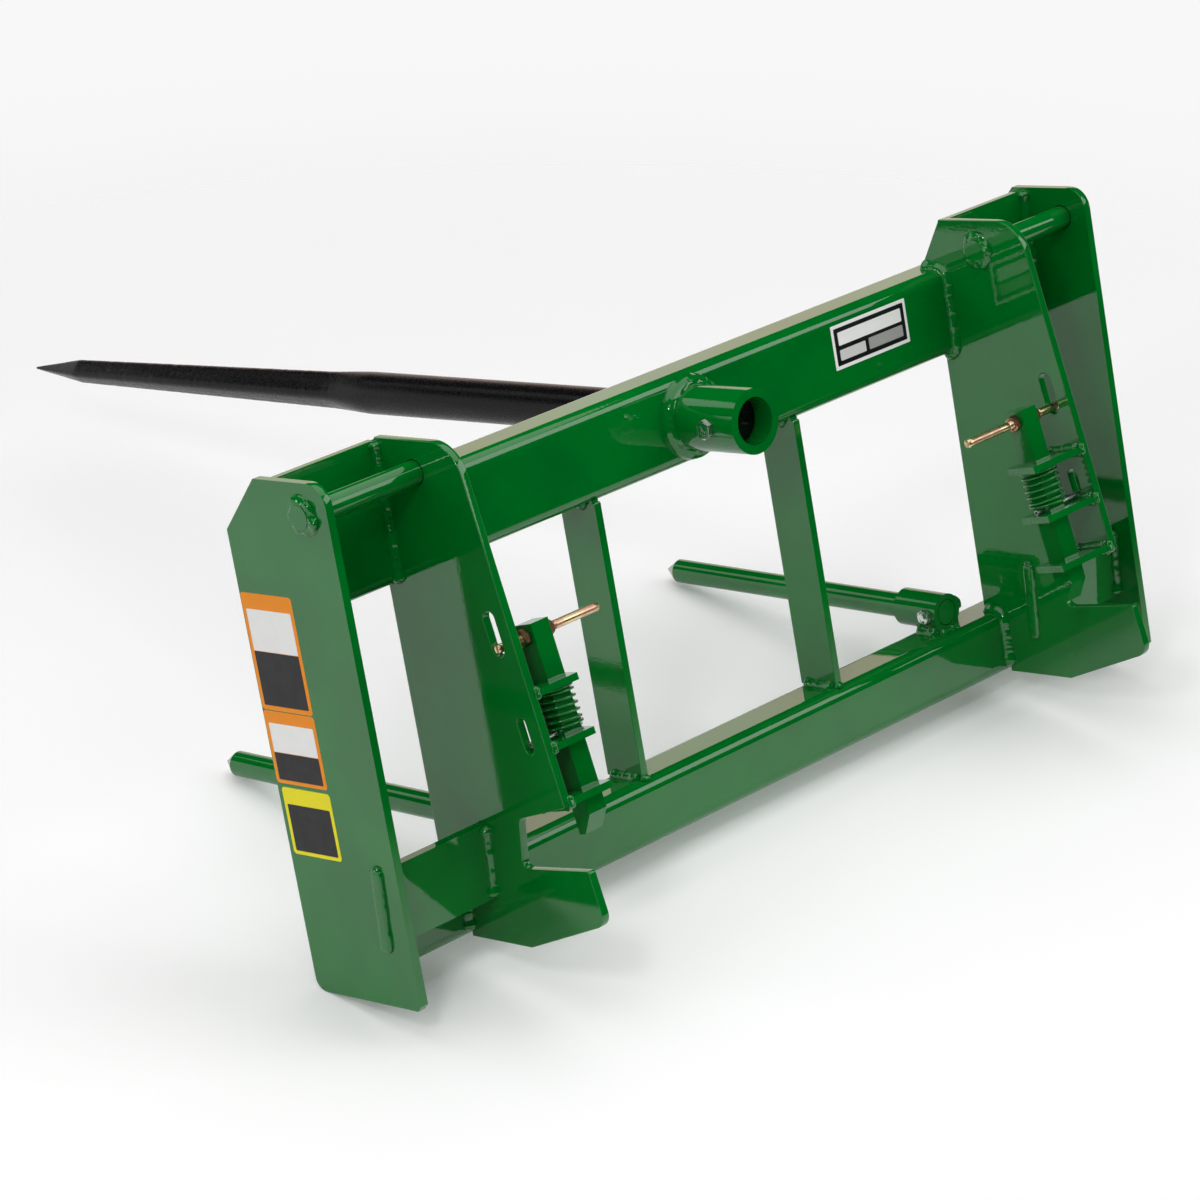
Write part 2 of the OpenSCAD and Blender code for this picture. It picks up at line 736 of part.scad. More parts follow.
module spring(side) {
  in_latch(side) color("#0d6b22") translate([latch_x(side), 0, 0])
    coil(spring_low, spring_high, coil_turns);
}

upper_cross_tube();
lower_cross_tube();
upright_bar(LEFT);  // left_upright_bar
upright_bar(RIGHT);  // right_upright_bar
outer_plate(LEFT);  // left_outer_plate
outer_plate(RIGHT);  // right_outer_plate
inner_plate(LEFT);  // left_inner_plate
inner_plate(RIGHT);  // right_inner_plate
back_plate(LEFT);  // left_back_plate
back_plate(RIGHT);  // right_back_plate
hook_bar(LEFT);  // left_hook_bar
hook_bar(RIGHT);  // right_hook_bar
stop_bar(LEFT);  // left_stop_bar
stop_bar(RIGHT);  // right_stop_bar
spear_socket();
main_spear();
spear_bolt();
spear_nut();
collar(LEFT);  // left_collar
collar(RIGHT);  // right_collar
stabiliser(LEFT);  // left_stabiliser
stabiliser(RIGHT);  // right_stabiliser
stabiliser_bolt(LEFT);  // left_stabiliser_bolt
stabiliser_bolt(RIGHT);  // right_stabiliser_bolt
stabiliser_nut(LEFT);  // left_stabiliser_nut
stabiliser_nut(RIGHT);  // right_stabiliser_nut
guide(LEFT, 0);  // left_top_guide
guide(RIGHT, 0);  // right_top_guide
guide(LEFT, 1);  // left_middle_guide
guide(RIGHT, 1);  // right_middle_guide
guide(LEFT, 2);  // left_bottom_guide
guide(RIGHT, 2);  // right_bottom_guide
latch_bar(LEFT);  // left_latch_bar
latch_bar(RIGHT);  // right_latch_bar
handle(LEFT);  // left_handle
handle(RIGHT);  // right_handle
inner_nut(LEFT);  // left_inner_nut
inner_nut(RIGHT);  // right_inner_nut
outer_nut(LEFT);  // left_outer_nut
outer_nut(RIGHT);  // right_outer_nut
spring(LEFT);  // left_spring
spring(RIGHT);  // right_spring
roll_pin(LEFT);  // left_roll_pin
roll_pin(RIGHT);  // right_roll_pin
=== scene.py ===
"""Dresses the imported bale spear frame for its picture: enamel, welds, springs, threads and studio.

Places are worked out in millimetres on the bench datum of the part's source (x = 0 on the middle
plane, y = 0 on the outer plates' front edge, z = 0 on their bottom edge) and bench() turns them
into metres in the row's frame. side is -1 for the left half and +1 for the right half.
"""

import json
import logging
import math
from dataclasses import dataclass, field
from enum import Enum
from functools import cached_property

import bpy
import numpy as np
from mathutils import Matrix, Vector
from mathutils.geometry import tessellate_polygon
from numpy.typing import ArrayLike


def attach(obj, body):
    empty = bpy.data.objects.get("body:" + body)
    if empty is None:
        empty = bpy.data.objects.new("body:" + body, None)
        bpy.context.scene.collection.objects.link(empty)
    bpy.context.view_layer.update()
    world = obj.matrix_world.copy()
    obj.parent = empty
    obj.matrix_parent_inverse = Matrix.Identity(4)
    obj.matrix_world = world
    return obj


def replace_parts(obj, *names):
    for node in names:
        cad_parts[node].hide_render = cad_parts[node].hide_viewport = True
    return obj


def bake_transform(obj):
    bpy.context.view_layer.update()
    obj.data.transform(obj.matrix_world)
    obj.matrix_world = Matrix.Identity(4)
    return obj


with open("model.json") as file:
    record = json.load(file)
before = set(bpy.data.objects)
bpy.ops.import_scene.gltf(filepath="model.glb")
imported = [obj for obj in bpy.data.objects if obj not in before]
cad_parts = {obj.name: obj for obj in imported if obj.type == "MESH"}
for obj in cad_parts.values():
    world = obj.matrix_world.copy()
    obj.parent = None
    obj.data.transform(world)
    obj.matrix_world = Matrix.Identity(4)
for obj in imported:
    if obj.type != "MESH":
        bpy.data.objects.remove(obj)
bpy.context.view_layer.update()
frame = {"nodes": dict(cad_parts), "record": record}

LOG = logging.getLogger("bale_spear_frame")
Piece, Material, Socket = bpy.types.Object, bpy.types.Material, bpy.types.NodeSocket
Tree, Node = bpy.types.NodeTree, bpy.types.Node
MM = 0.001
TURN = 2 * math.pi
SIDES = {"left": -1, "right": 1}

# Places and sizes of the source that the pieces here are fitted to, in millimetres
HOOK_BAR_Y, HOOK_BAR_Z, HOOK_BAR_D = 124.0, 515.5, 25.4
OUTER_FACE, OUTER_IN, INNER_OUT, INNER_IN = 583.0, 573.5, 435.5, 426.0
UPPER_FRONT, UPPER_REAR, UPPER_LOW, UPPER_TOP = -13.0, -71.5, 394.5, 492.5
LOWER_FRONT, LOWER_REAR, LOWER_LOW, LOWER_TOP = -16.5, -80.5, 14.5, 86.5
UPPER_MID = (UPPER_LOW + UPPER_TOP) / 2
TUBE_R = 13.0
INNER_FRONT, NOSE_FRONT = -53.0, -36.0
BACK_PLATE_TOP = 546.0
STOP_T, STOP_H = 10.0, 82.0
FIT = 0.2

# Faces of a pair of side plates as (x, way out of the plate), on its outside and on its inside
OUTSIDE = ((OUTER_FACE, 1), (INNER_IN, -1))
INSIDE = ((OUTER_IN, -1), (INNER_OUT, 1))

# Spacing of the points along a path in mm
STATION = 0.8


def bench(points: ArrayLike) -> np.ndarray:
    """Turns bench points in mm, with x, y, z on the last axis, into row frame points in m."""
    return (np.asarray(points, float) + (0.0, HOOK_BAR_Y, -HOOK_BAR_Z)) * MM


@dataclass(frozen=True)
class Leaning:
    """Section across x whose own forward and up are leaned forward by tilt about (y, z)."""

    y: float
    z: float
    tilt: float

    def at(self, forward: ArrayLike, up: ArrayLike) -> np.ndarray:
        """Turns places of the section into bench (y, z) points."""
        c, s = math.cos(self.tilt), math.sin(self.tilt)
        forward, up = np.asarray(forward, float), np.asarray(up, float)
        return np.stack([self.y + forward * c + up * s, self.z - forward * s + up * c], -1)

    @property
    def forward(self) -> np.ndarray:
        """Unit vector forward."""
        return np.array([0, math.cos(self.tilt), -math.sin(self.tilt)])

    @property
    def up(self) -> np.ndarray:
        """Unit vector up."""
        return np.array([0, math.sin(self.tilt), math.cos(self.tilt)])


# The latch bars, from the handle's axis, and the stop bars, from the middle of their rear face
LATCH = Leaning(-201.2, 337.5, math.radians(10.75))
STOP = Leaning(-131.0, 104.0, -math.radians(4.0))


def linear(colour: str) -> tuple[float, float, float, float]:
    """Turns an sRGB hex colour, six digits after a hash sign, into the linear RGBA of a shader."""
    srgb = np.array([int(colour[i : i + 2], 16) for i in (1, 3, 5)]) / 255
    rgb = np.where(srgb <= 0.04045, srgb / 12.92, ((srgb + 0.055) / 1.055) ** 2.4)
    return (*rgb.tolist(), 1.0)


# Surfaces


def solid(name: str, points: np.ndarray, faces: list[list[int]], sharp_deg: float = 40.0) -> Piece:
    """Makes a closed piece, its faces turned outwards by the sign of the volume they enclose.

    Args:
        name: Name of the piece.
        points: Corner places in metres.
        faces: Triangles and quads as lists of indices, all turned alike.
        sharp_deg: Edges that turn by more than this stay sharp.

    Returns:
        The new object.
    """
    fans = np.array([[f[0], f[k], f[k + 1]] for f in faces for k in range(1, len(f) - 1)])
    a, b, c = (points[fans[:, k]] for k in range(3))
    volume = np.einsum("ij,ij->i", a, np.cross(b, c)).sum()
    mesh = bpy.data.meshes.new(name)
    mesh.from_pydata(points.tolist(), [], faces if volume > 0 else [f[::-1] for f in faces])
    mesh.shade_smooth()
    mesh.set_sharp_from_angle(angle=math.radians(sharp_deg))
    mesh.update()
    piece = bpy.data.objects.new(name, mesh)
    bpy.context.scene.collection.objects.link(piece)
    return piece


def skin(name: str, grid: np.ndarray, ring: bool = False, sharp_deg: float = 40.0) -> Piece:
    """Makes a closed piece from rows of points, each row being a closed section.

    Args:
        name: Name of the piece.
        grid: Places in metres, rows by columns by 3. Neighbours are joined by quads.
        ring: True joins the last row to the first, otherwise each end is closed by a fan.
        sharp_deg: Edges that turn by more than this stay sharp.

    Returns:
        The new object.
    """
    rows, cols = grid.shape[:2]
    index = np.arange(rows * cols).reshape(rows, cols)
    wrapped = np.hstack([index, index[:, :1]])
    wrapped = np.vstack([wrapped, wrapped[:1]]) if ring else wrapped
    quads = np.stack([wrapped[:-1, :-1], wrapped[1:, :-1], wrapped[1:, 1:], wrapped[:-1, 1:]], -1)
    points, faces = grid.reshape(-1, 3), quads.reshape(-1, 4).tolist()
    if not ring:
        tips = np.array([grid[0].mean(0), grid[-1].mean(0)])
        first, last = index[0], index[-1]
        start = np.stack([np.full(cols, rows * cols), first, np.roll(first, -1)], -1)
        end = np.stack([np.full(cols, rows * cols + 1), np.roll(last, -1), last], -1)
        points = np.vstack([points, tips])
        faces += start.tolist() + end.tolist()
    return solid(name, points, faces, sharp_deg)


def join(name: str, pieces: list[Piece]) -> Piece:
    """Joins pieces that share one finish into one object called name."""
    with bpy.context.temp_override(active_object=pieces[0], selected_editable_objects=pieces):
        bpy.ops.object.join()
    pieces[0].name = pieces[0].data.name = name
    return pieces[0]


def wander(at: np.ndarray, rates: np.ndarray, weights: list[float], seed: int) -> np.ndarray:
    """Smooth wander between about -1 and 1: a weighted sum of sines of at with seeded phases."""
    phase = np.random.default_rng(seed).uniform(0, TURN, len(rates))
    return np.sin(np.multiply.outer(at, rates) + phase) @ np.array(weights)


def waves(at: np.ndarray, length: float, seed: int) -> np.ndarray:
    """Wander along a path in mm: length is its longest wave, and short ones count for less."""
    rates = TURN / length * np.array([1.0, 1.7, 2.9, 4.3])
    return wander(at, rates, [0.45, 0.35, 0.14, 0.06], seed)


def corner_arc(
    before: np.ndarray, at: np.ndarray, after: np.ndarray, radius: float, count: int = 9
) -> np.ndarray:
    """Points of the arc that rounds the corner at, on the way from before to after."""
    back = (before - at) / np.linalg.norm(before - at)
    on = (after - at) / np.linalg.norm(after - at)
    half = math.acos(float(np.clip(back @ on, -1, 1))) / 2
    reach = radius / math.tan(half)
    centre = at + (back + on) / np.linalg.norm(back + on) * radius / math.sin(half)
    first, last = at + back * reach - centre, at + on * reach - centre
    share = np.linspace(0, 1, count)[:, None]
    arc = first * (1 - share) + last * share
    return centre + arc / np.linalg.norm(arc, axis=1)[:, None] * radius


def rounded_path(corners: list[tuple], radius: float) -> tuple[np.ndarray, np.ndarray]:
    """Polyline with round corners in a plane, and its normals to the left of the way along it.

    Args:
        corners: Corner points in order.
        radius: Radius of every inner corner.

    Returns:
        Points at even stations, and unit normals there.
    """
    pts = np.array(corners, float)
    arcs = [corner_arc(b, a, c, radius) for b, a, c in zip(pts[:-2], pts[1:-1], pts[2:])]
    run = np.vstack([pts[:1], *arcs, pts[-1:]])
    length = np.concatenate([[0], np.cumsum(np.linalg.norm(np.diff(run, axis=0), axis=1))])
    at = np.linspace(0, length[-1], max(12, int(length[-1] / STATION)))
    path = np.stack([np.interp(at, length, run[:, k]) for k in range(2)], -1)
    way = np.gradient(path, axis=0)
    way /= np.linalg.norm(way, axis=1)[:, None]
    return path, np.stack([-way[:, 1], way[:, 0]], -1)


def rounded_loop(corners: list[tuple[tuple[float, float], float]]) -> np.ndarray:
    """Closed outline through pairs of a corner point and its radius, 0 keeping one sharp."""
    at = np.array([corner for corner, _ in corners], float)
    near = zip(np.roll(at, 1, 0), at, np.roll(at, -1, 0), [radius for _, radius in corners])
    return np.vstack([corner_arc(b, a, c, r) if r > 0 else a[None] for b, a, c, r in near])


def slot_loop(low: np.ndarray, high: np.ndarray, width: float) -> np.ndarray:
    """Slot between two end centres, with half round ends, run clockwise as a hole is."""
    along = math.atan2(high[1] - low[1], high[0] - low[0])
    half = np.linspace(-np.pi / 2, np.pi / 2, 13)
    ends = [(high, along + half), (low, along + np.pi + half)]
    loop = [c + width / 2 * np.stack([np.cos(a), np.sin(a)], -1) for c, a in ends]
    return np.vstack(loop)[::-1]


def inset(loop: np.ndarray, distance: float) -> np.ndarray:
    """Moves a closed loop's points to the left of their way by distance, mitred at its corners."""
    way = np.roll(loop, -1, 0) - loop
    way /= np.linalg.norm(way, axis=1)[:, None]
    left = np.stack([-way[:, 1], way[:, 0]], -1)
    before = np.roll(left, 1, 0)
    return loop + distance * (before + left) / (1 + (before * left).sum(-1, keepdims=True))


def cut_plate(name: str, x0: float, x1: float, loops: list[np.ndarray], edge: float) -> Piece:
    """Makes a flat plate from its outline and holes, with rounded edges.

    Each loop is carried through eight depths: over the first and last quarter turn its inset is
    edge * (1 - sin t) at the depth edge * (1 - cos t), and both faces are filled in between.

    Args:
        name: Name of the piece.
        x0: Bench x of one face.
        x1: Bench x of the other face.
        loops: Outline anticlockwise and holes clockwise, as bench (y, z) points.
        edge: Radius of the edges.

    Returns:
        The new object.
    """
    turn = np.radians([0, 30, 60, 90])
    depth, shrink = edge * (1 - np.cos(turn)), edge * (1 - np.sin(turn))
    way = 1 if x1 > x0 else -1
    rows = np.concatenate([x0 + way * depth, x1 - way * depth[::-1]])
    shrinks = np.concatenate([shrink, shrink[::-1]])
    points, faces, first, last, base = [], [], [], [], 0
    for loop in loops:
        rings = np.stack([
            np.column_stack([np.full(len(loop), x), inset(loop, d)]) for x, d in zip(rows, shrinks)
        ])
        index = base + np.arange(rings.shape[0] * rings.shape[1]).reshape(rings.shape[:2])
        on = np.roll(index, -1, 1)
        faces += np.stack([index[:-1], on[:-1], on[1:], index[1:]], -1).reshape(-1, 4).tolist()
        points.append(rings.reshape(-1, 3))
        first.append(index[0])
        last.append(index[-1])
        base += index.size
    points, first, last = np.vstack(points), np.concatenate(first), np.concatenate(last)
    flat = np.split(points[first], np.cumsum([len(loop) for loop in loops])[:-1])
    cap = np.array(tessellate_polygon([[Vector((p[1], p[2], 0)) for p in part] for part in flat]))
    a, b, c = (points[first[cap[:, k]]][:, 1:] for k in range(3))
    turned_back = np.cross(b - a, c - a) < 0
    cap[turned_back] = cap[turned_back][:, ::-1]
    faces += first[cap][:, ::-1].tolist() + last[cap].tolist()
    piece = solid(name, bench(points), faces)
    mesh = piece.data
    ends = np.empty(len(mesh.edges) * 2, np.int32)
    mesh.edges.foreach_get("vertices", ends)
    rim = np.isin(ends.reshape(-1, 2), np.concatenate([first, last])).all(1)
    sharp = np.zeros(len(mesh.edges), bool)
    marks = mesh.attributes.get("sharp_edge")
    marks = marks or mesh.attributes.new("sharp_edge", "BOOLEAN", "EDGE")
    marks.data.foreach_get("value", sharp)
    marks.data.foreach_set("value", sharp | rim)
    mesh.update()
    return piece


# Finishes


def add_node(tree: Tree, kind: str, inputs: dict | None = None, **settings) -> Node:
    """Adds a shader node.

    Args:
        tree: Node tree of a material or world.
        kind: Node type.
        inputs: Input name or number to a value, or to an output socket that feeds it.
        settings: Attributes of the node.

    Returns:
        The new node.
    """
    node = tree.nodes.new(kind)
    for key, value in settings.items():
        setattr(node, key, value)
    feed(tree, node, inputs or {})
    return node


def feed(tree: Tree, node: Node, inputs: dict) -> None:
    """Feeds a node's inputs, each from a value or from an output socket."""
    for key, value in inputs.items():
        if isinstance(value, bpy.types.NodeSocket):
            tree.links.new(value, node.inputs[key])
        else:
            node.inputs[key].default_value = value


def seen_directly(tree: Tree) -> Socket:
    """Socket that is 1 for rays from the camera, a mirror or glass, and 0 for those that light."""
    path = add_node(tree, "ShaderNodeLightPath").outputs
    seen = path["Is Camera Ray"]
    for ray in ("Is Glossy Ray", "Is Transmission Ray"):
        inputs = {0: seen, 1: path[ray]}
        seen = add_node(tree, "ShaderNodeMath", inputs, operation="MAXIMUM").outputs[0]
    return seen


class Grain(Enum):
    """How a noise pattern's coordinates are scaled: a small figure draws its waves out that way."""

    EVEN = (1.0, 1.0, 1.0)
    STREAKED = (1.0, 0.1, 1.0)
    DRAWN = (0.05, 1.0, 1.0)
    FURROWED = (1.0, 1.0, 0.08)


class Shading:
    """A new material: its tree, its Principled shader and the object coordinates in metres."""

    def __init__(self, name: str) -> None:
        """Makes the empty material."""
        self.material = bpy.data.materials.new(name)
        self.material.use_nodes = True
        self.tree = self.material.node_tree
        self.shader = next(n for n in self.tree.nodes if n.type == "BSDF_PRINCIPLED")
        self.place = self.add("ShaderNodeTexCoord").outputs["Object"]

    def add(self, kind: str, inputs: dict | None = None, **settings) -> Node:
        """Adds a node to the material's tree, as add_node does."""
        return add_node(self.tree, kind, inputs, **settings)

    def feed(self, inputs: dict) -> None:
        """Feeds the Principled shader's inputs, each from a value or a socket."""
        feed(self.tree, self.shader, inputs)

    def fed(self, name: str) -> Socket | None:
        """Socket that feeds an input of the Principled shader so far, or None."""
        links = self.shader.inputs[name].links
        return links[0].from_socket if links else None

    def show(self, surface: Socket) -> None:
        """Shows a shader's socket in place of the Principled shader."""
        out = next(n for n in self.tree.nodes if n.type == "OUTPUT_MATERIAL")
        self.tree.links.new(surface, out.inputs["Surface"])

    def noise(self, size_mm: float, detail: float = 2.0, grain: Grain = Grain.EVEN) -> Socket:
        """Noise whose waves are about size_mm long.

        Args:
            size_mm: Length of a wave.
            detail: Octaves of finer waves.
            grain: Way in which the waves are drawn out.

        Returns:
            The noise value's socket.
        """
        place = self.place
        if grain is not Grain.EVEN:
            inputs = {"Vector": place, "Scale": grain.value}
            place = self.add("ShaderNodeMapping", inputs).outputs[0]
        inputs = {"Vector": place, "Scale": 1000 / size_mm, "Detail": detail}
        return self.add("ShaderNodeTexNoise", inputs).outputs[0]

    def ramp(
        self, value: Socket, low: float, high: float, to_low: float = 0.0, to_high: float = 1.0
    ) -> Socket:
        """Maps a socket's value from low...high to to_low...to_high, smoothly and clamped."""
        inputs = {"Value": value, 1: low, 2: high, 3: to_low, 4: to_high}
        return self.add("ShaderNodeMapRange", inputs, interpolation_type="SMOOTHSTEP").outputs[0]

    def blend(self, share: Socket, a: str | Socket, b: str | Socket) -> Socket:
        """Mixes colours a and b, each hex or a socket, by the socket of the second one's share."""
        a, b = (linear(colour) if isinstance(colour, str) else colour for colour in (a, b))
        return self.add("ShaderNodeMix", {0: share, 6: a, 7: b}, data_type="RGBA").outputs[2]

    def math(self, operation: str, *values: float | Socket) -> Socket:
        """Works out one sum of sockets and numbers, and returns its socket."""
        inputs = dict(enumerate(values))
        return self.add("ShaderNodeMath", inputs, operation=operation).outputs[0]

    def facing_x(self) -> Socket:
        """Socket of how squarely the surface faces along x, from 0 to 1."""
        normal = self.add("ShaderNodeNewGeometry").outputs["Normal"]
        along = self.add("ShaderNodeSeparateXYZ", {0: normal}).outputs["X"]
        return self.math("ABSOLUTE", along)

    def bump(self, height: Socket, deep_mm: float) -> None:
        """Lays a bump, deep_mm high in full, over the shader's normal so far."""
        inputs = {"Height": height, "Distance": deep_mm * MM, "Strength": 1.0}
        if self.fed("Normal"):
            inputs["Normal"] = self.fed("Normal")
        self.feed({"Normal": self.add("ShaderNodeBump", inputs).outputs[0]})


@dataclass(frozen=True)
class Finish:
    """Base of every finish: a named material whose subclass says how it is shaded."""

    name: str

    def build(self) -> Material:
        """Makes the material and returns it."""
        shading = Shading(self.name)
        self.shade(shading)
        return shading.material

    def shade(self, s: Shading) -> None:
        """Feeds the material's shader."""
        raise NotImplementedError


@dataclass(frozen=True)
class GlossEnamel(Finish):
    """Thick two-pack gloss enamel sprayed over bare weldments: a deep green with a mirror gloss,
    faint orange peel that frays the edges of reflections, and slow changes of film thickness."""

    colour: str = "#007324"
    thin: str = "#006a21"
    film_mm: float = 120.0
    roughness: float = 0.03
    haze_mm: float = 35.0
    peel_mm: float = 3.2
    peel_deep_mm: float = 0.034
    sag_mm: float = 60.0
    sag_deep_mm: float = 0.05

    def shade(self, s: Shading) -> None:
        """Feeds the material's shader."""
        film = s.ramp(s.noise(self.film_mm), 0.35, 0.65)
        haze = s.ramp(s.noise(self.haze_mm), 0.4, 0.75, self.roughness, self.roughness * 1.5)
        colour = s.blend(film, self.thin, self.colour)
        s.feed({"Base Color": colour, "Roughness": haze, "IOR": 1.6})
        s.bump(s.noise(self.sag_mm, 1.0), self.sag_deep_mm)
        s.bump(s.noise(self.peel_mm, 1.0), self.peel_deep_mm)


@dataclass(frozen=True)
class BareTipEnamel(GlossEnamel):
    """The same enamel, left off the turned point of a stabiliser: bright steel shows there, past a
    frayed edge of the paint at bare_from along y, in metres."""

    bare_from: float = 0.4867
    steel: str = "#a8a49c"
    fray_mm: float = 6.0

    def shade(self, s: Shading) -> None:
        """Feeds the material's shader."""
        super().shade(s)
        along = s.add("ShaderNodeSeparateXYZ", {0: s.place}).outputs["Y"]
        edge = s.math("MULTIPLY_ADD", s.noise(self.fray_mm), 0.003, along)
        bare = s.ramp(edge, self.bare_from + 0.001, self.bare_from + 0.002)
        colour = s.blend(bare, s.fed("Base Color"), self.steel)
        rough = s.math("MULTIPLY_ADD", bare, 0.33, s.fed("Roughness"))
        s.feed({"Base Color": colour, "Metallic": bare, "Roughness": rough})


@dataclass(frozen=True)
class FlameCutEnamel(GlossEnamel):
    """The same enamel over a flame cut end, where the drag lines of the cut stand through it as
    fine furrows down the edge."""

    furrow_mm: float = 2.2
    furrow_deep_mm: float = 0.5

    def shade(self, s: Shading) -> None:
        """Feeds the material's shader."""
        super().shade(s)
        end = s.ramp(s.facing_x(), 0.55, 0.7)
        furrow = s.noise(self.furrow_mm, grain=Grain.FURROWED)
        s.bump(s.math("MULTIPLY", furrow, end), self.furrow_deep_mm)


@dataclass(frozen=True)
class PaintedGapShade(Finish):
    """Painted shade in the clearance round a bar in its hole: brownish black, with no gloss at all.
    """

    colour: str = "#0a0d08"
    shade_mottle: str = "#16130c"

    def shade(self, s: Shading) -> None:
        """Feeds the material's shader."""
        # Painted shade: two near-black tones mottled by noise, standing in for the shadow in the
        # gap.
        colour = s.blend(s.noise(4.0, 3.0), self.colour, self.shade_mottle)
        s.feed({"Base Color": colour, "Roughness": 0.9, "Specular IOR Level": 0.1})


@dataclass(frozen=True)
class ForgedBlack(Finish):
    """Forged steel dipped in black satin paint: scale pits and drawn-out hammer marks under a thin
    film, so the ridges carry a soft grey highlight and the flats stay black."""

    colour: str = "#0b0b0d"
    worn: str = "#1c1a1a"
    specular: float = 0.16
    scale_mm: float = 3.0
    mark_mm: float = 22.0

    def shade(self, s: Shading) -> None:
        """Feeds the material's shader."""
        scale, marks = s.noise(self.scale_mm, 4.0), s.noise(self.mark_mm, 3.0, Grain.STREAKED)
        colour = s.blend(s.ramp(marks, 0.45, 0.7), self.colour, self.worn)
        rough = s.ramp(scale, 0.3, 0.7, 0.2, 0.34)
        s.feed({"Base Color": colour, "Roughness": rough, "Specular IOR Level": self.specular})
        s.bump(marks, 0.5)
        s.bump(scale, 0.12)


@dataclass(frozen=True)
class Plated(Finish):
    """Electroplated zinc on turned or drawn steel: a bright metal with fine draw lines, its
    passivation clouded from one tint to another, and overspray of the enamel where asked."""

    colour: str = "#c6c9cb"
    cloud: str = "#a9adb0"
    roughness: float = 0.26
    cloud_mm: float = 9.0
    overspray: float = 0.0
    spray_colour: str = "#0b6a28"
    bright_flanks: bool = False

    def shade(self, s: Shading) -> None:
        """Feeds the material's shader: bright_flanks keeps the overspray to faces along x."""
        cloud = s.ramp(s.noise(self.cloud_mm, 3.0), 0.35, 0.65)
        colour, metal = s.blend(cloud, self.colour, self.cloud), 1.0
        if self.overspray > 0:
            low = 0.72 - 0.45 * self.overspray
            spray = s.ramp(s.noise(7.0, 5.0), low, low + 0.08)
            if self.bright_flanks:
                spray = s.math("MULTIPLY", spray, s.ramp(s.facing_x(), 0.9, 0.97, 0.12))
            colour, metal = s.blend(spray, colour, self.spray_colour), s.ramp(spray, 0, 1, 1, 0)
        rough = s.ramp(cloud, 0, 1, self.roughness, self.roughness * 1.35)
        s.feed({"Base Color": colour, "Metallic": metal, "Roughness": rough})
        s.bump(s.noise(1.4, grain=Grain.DRAWN), 0.012)


@dataclass(frozen=True)
class PrintedVinyl(Finish):
    """Plain vinyl film, gloss laminated: one field of colour with a faint stipple."""

    colour: str = "#ffffff"

    def shade(self, s: Shading) -> None:
        """Feeds the material's shader."""
        colour = s.blend(s.ramp(s.noise(14.0), 0.3, 0.7, 0, 0.03), self.colour, "#808080")
        s.feed({"Base Color": colour, "Roughness": 0.32, "Specular IOR Level": 0.25})
        s.bump(s.noise(3.0), 0.01)


@dataclass(frozen=True)
class PaleFloor(Finish):
    """Matt studio paper: pale, with a breath of mottling. It thins to nothing far out and shows no
    underside, so no edge or back of it crosses another view."""

    colour: str = "#f7f7f7"
    mottle: str = "#c8c8c8"
    fade_from: float = 0.9
    fade_to: float = 2.5
    lift: float = 0.12

    def shade(self, s: Shading) -> None:
        """Feeds the material's shader."""
        colour = s.blend(s.ramp(s.noise(300.0), 0.3, 0.7, 0, 0.03), self.colour, self.mottle)
        s.feed({"Base Color": colour, "Roughness": 0.9, "Specular IOR Level": 0.15})
        far = s.add("ShaderNodeVectorMath", {0: s.place}, operation="LENGTH").outputs["Value"]
        under = s.add("ShaderNodeNewGeometry").outputs["Backfacing"]
        hide = s.math("MAXIMUM", s.ramp(far, self.fade_from, self.fade_to), under)
        strength = s.math("MULTIPLY", seen_directly(s.tree), self.lift)
        glow = {"Color": linear("#ffffff"), "Strength": strength}
        lift = s.add("ShaderNodeEmission", glow).outputs[0]
        paper = s.add("ShaderNodeAddShader", {0: s.shader.outputs[0], 1: lift}).outputs[0]
        clear = s.add("ShaderNodeBsdfTransparent").outputs[0]
        s.show(s.add("ShaderNodeMixShader", {0: hide, 1: paper, 2: clear}).outputs[0])


@dataclass(frozen=True)
class WarmBoard(Finish):
    """Evenly lit warm board: it glows by itself, so that flat tops mirror a warm horizon."""

    colour: str = "#ffe0d4"
    pale: str = "#fff0e6"
    strength: float = 1.1

    def shade(self, s: Shading) -> None:
        """Feeds the material's shader."""
        tint = s.blend(s.ramp(s.noise(400.0), 0.3, 0.7), self.colour, self.pale)
        s.show(s.add("ShaderNodeEmission", {"Color": tint, "Strength": self.strength}).outputs[0])


@dataclass(frozen=True)
class BlackCloth(Finish):
    """Black molton of the studio's flags: it swallows light, so the enamel has something dark to
    mirror."""

    colour: str = "#050505"
    nap: str = "#090909"

    def shade(self, s: Shading) -> None:
        """Feeds the material's shader."""
        colour = s.blend(s.noise(50.0), self.colour, self.nap)
        s.feed({"Base Color": colour, "Roughness": 1.0, "Specular IOR Level": 0.0})


class Paint(Enum):
    """Every finish of the object."""

    ENAMEL = GlossEnamel("gloss_enamel_green")
    PEELED = GlossEnamel("enamel_orange_peel", peel_mm=2.6, peel_deep_mm=0.07)
    BEAD = GlossEnamel("enamel_over_weld", roughness=0.06)
    TIP = BareTipEnamel("enamel_with_bare_point")
    CUT = FlameCutEnamel("enamel_over_flame_cut")
    # Painted shade: the dark film drawn in the clearance round each hook bar.
    PAINTED_GAP_SHADE = PaintedGapShade("painted_gap_shade")
    FORGED = ForgedBlack("black_over_forged_steel")
    YELLOW = Plated("yellow_zinc", "#e4cf9f", "#d9b092", 0.27, 14.0)
    BRONZED = Plated("yellow_zinc_nut", "#c79d78", "#94695a", 0.24, 7.0)
    ZINC = Plated(
        "zinc_oversprayed", "#e2e5e4", "#c3c8c6", 0.22, overspray=0.62, bright_flanks=True
    )
    NUT = Plated("zinc_nut_painted", "#5d6b63", "#2c4a35", overspray=0.7)
    PIN = Plated("bright_zinc_pin")

    @cached_property
    def material(self) -> Material:
        """The finish's material, made once."""
        return self.value.build()


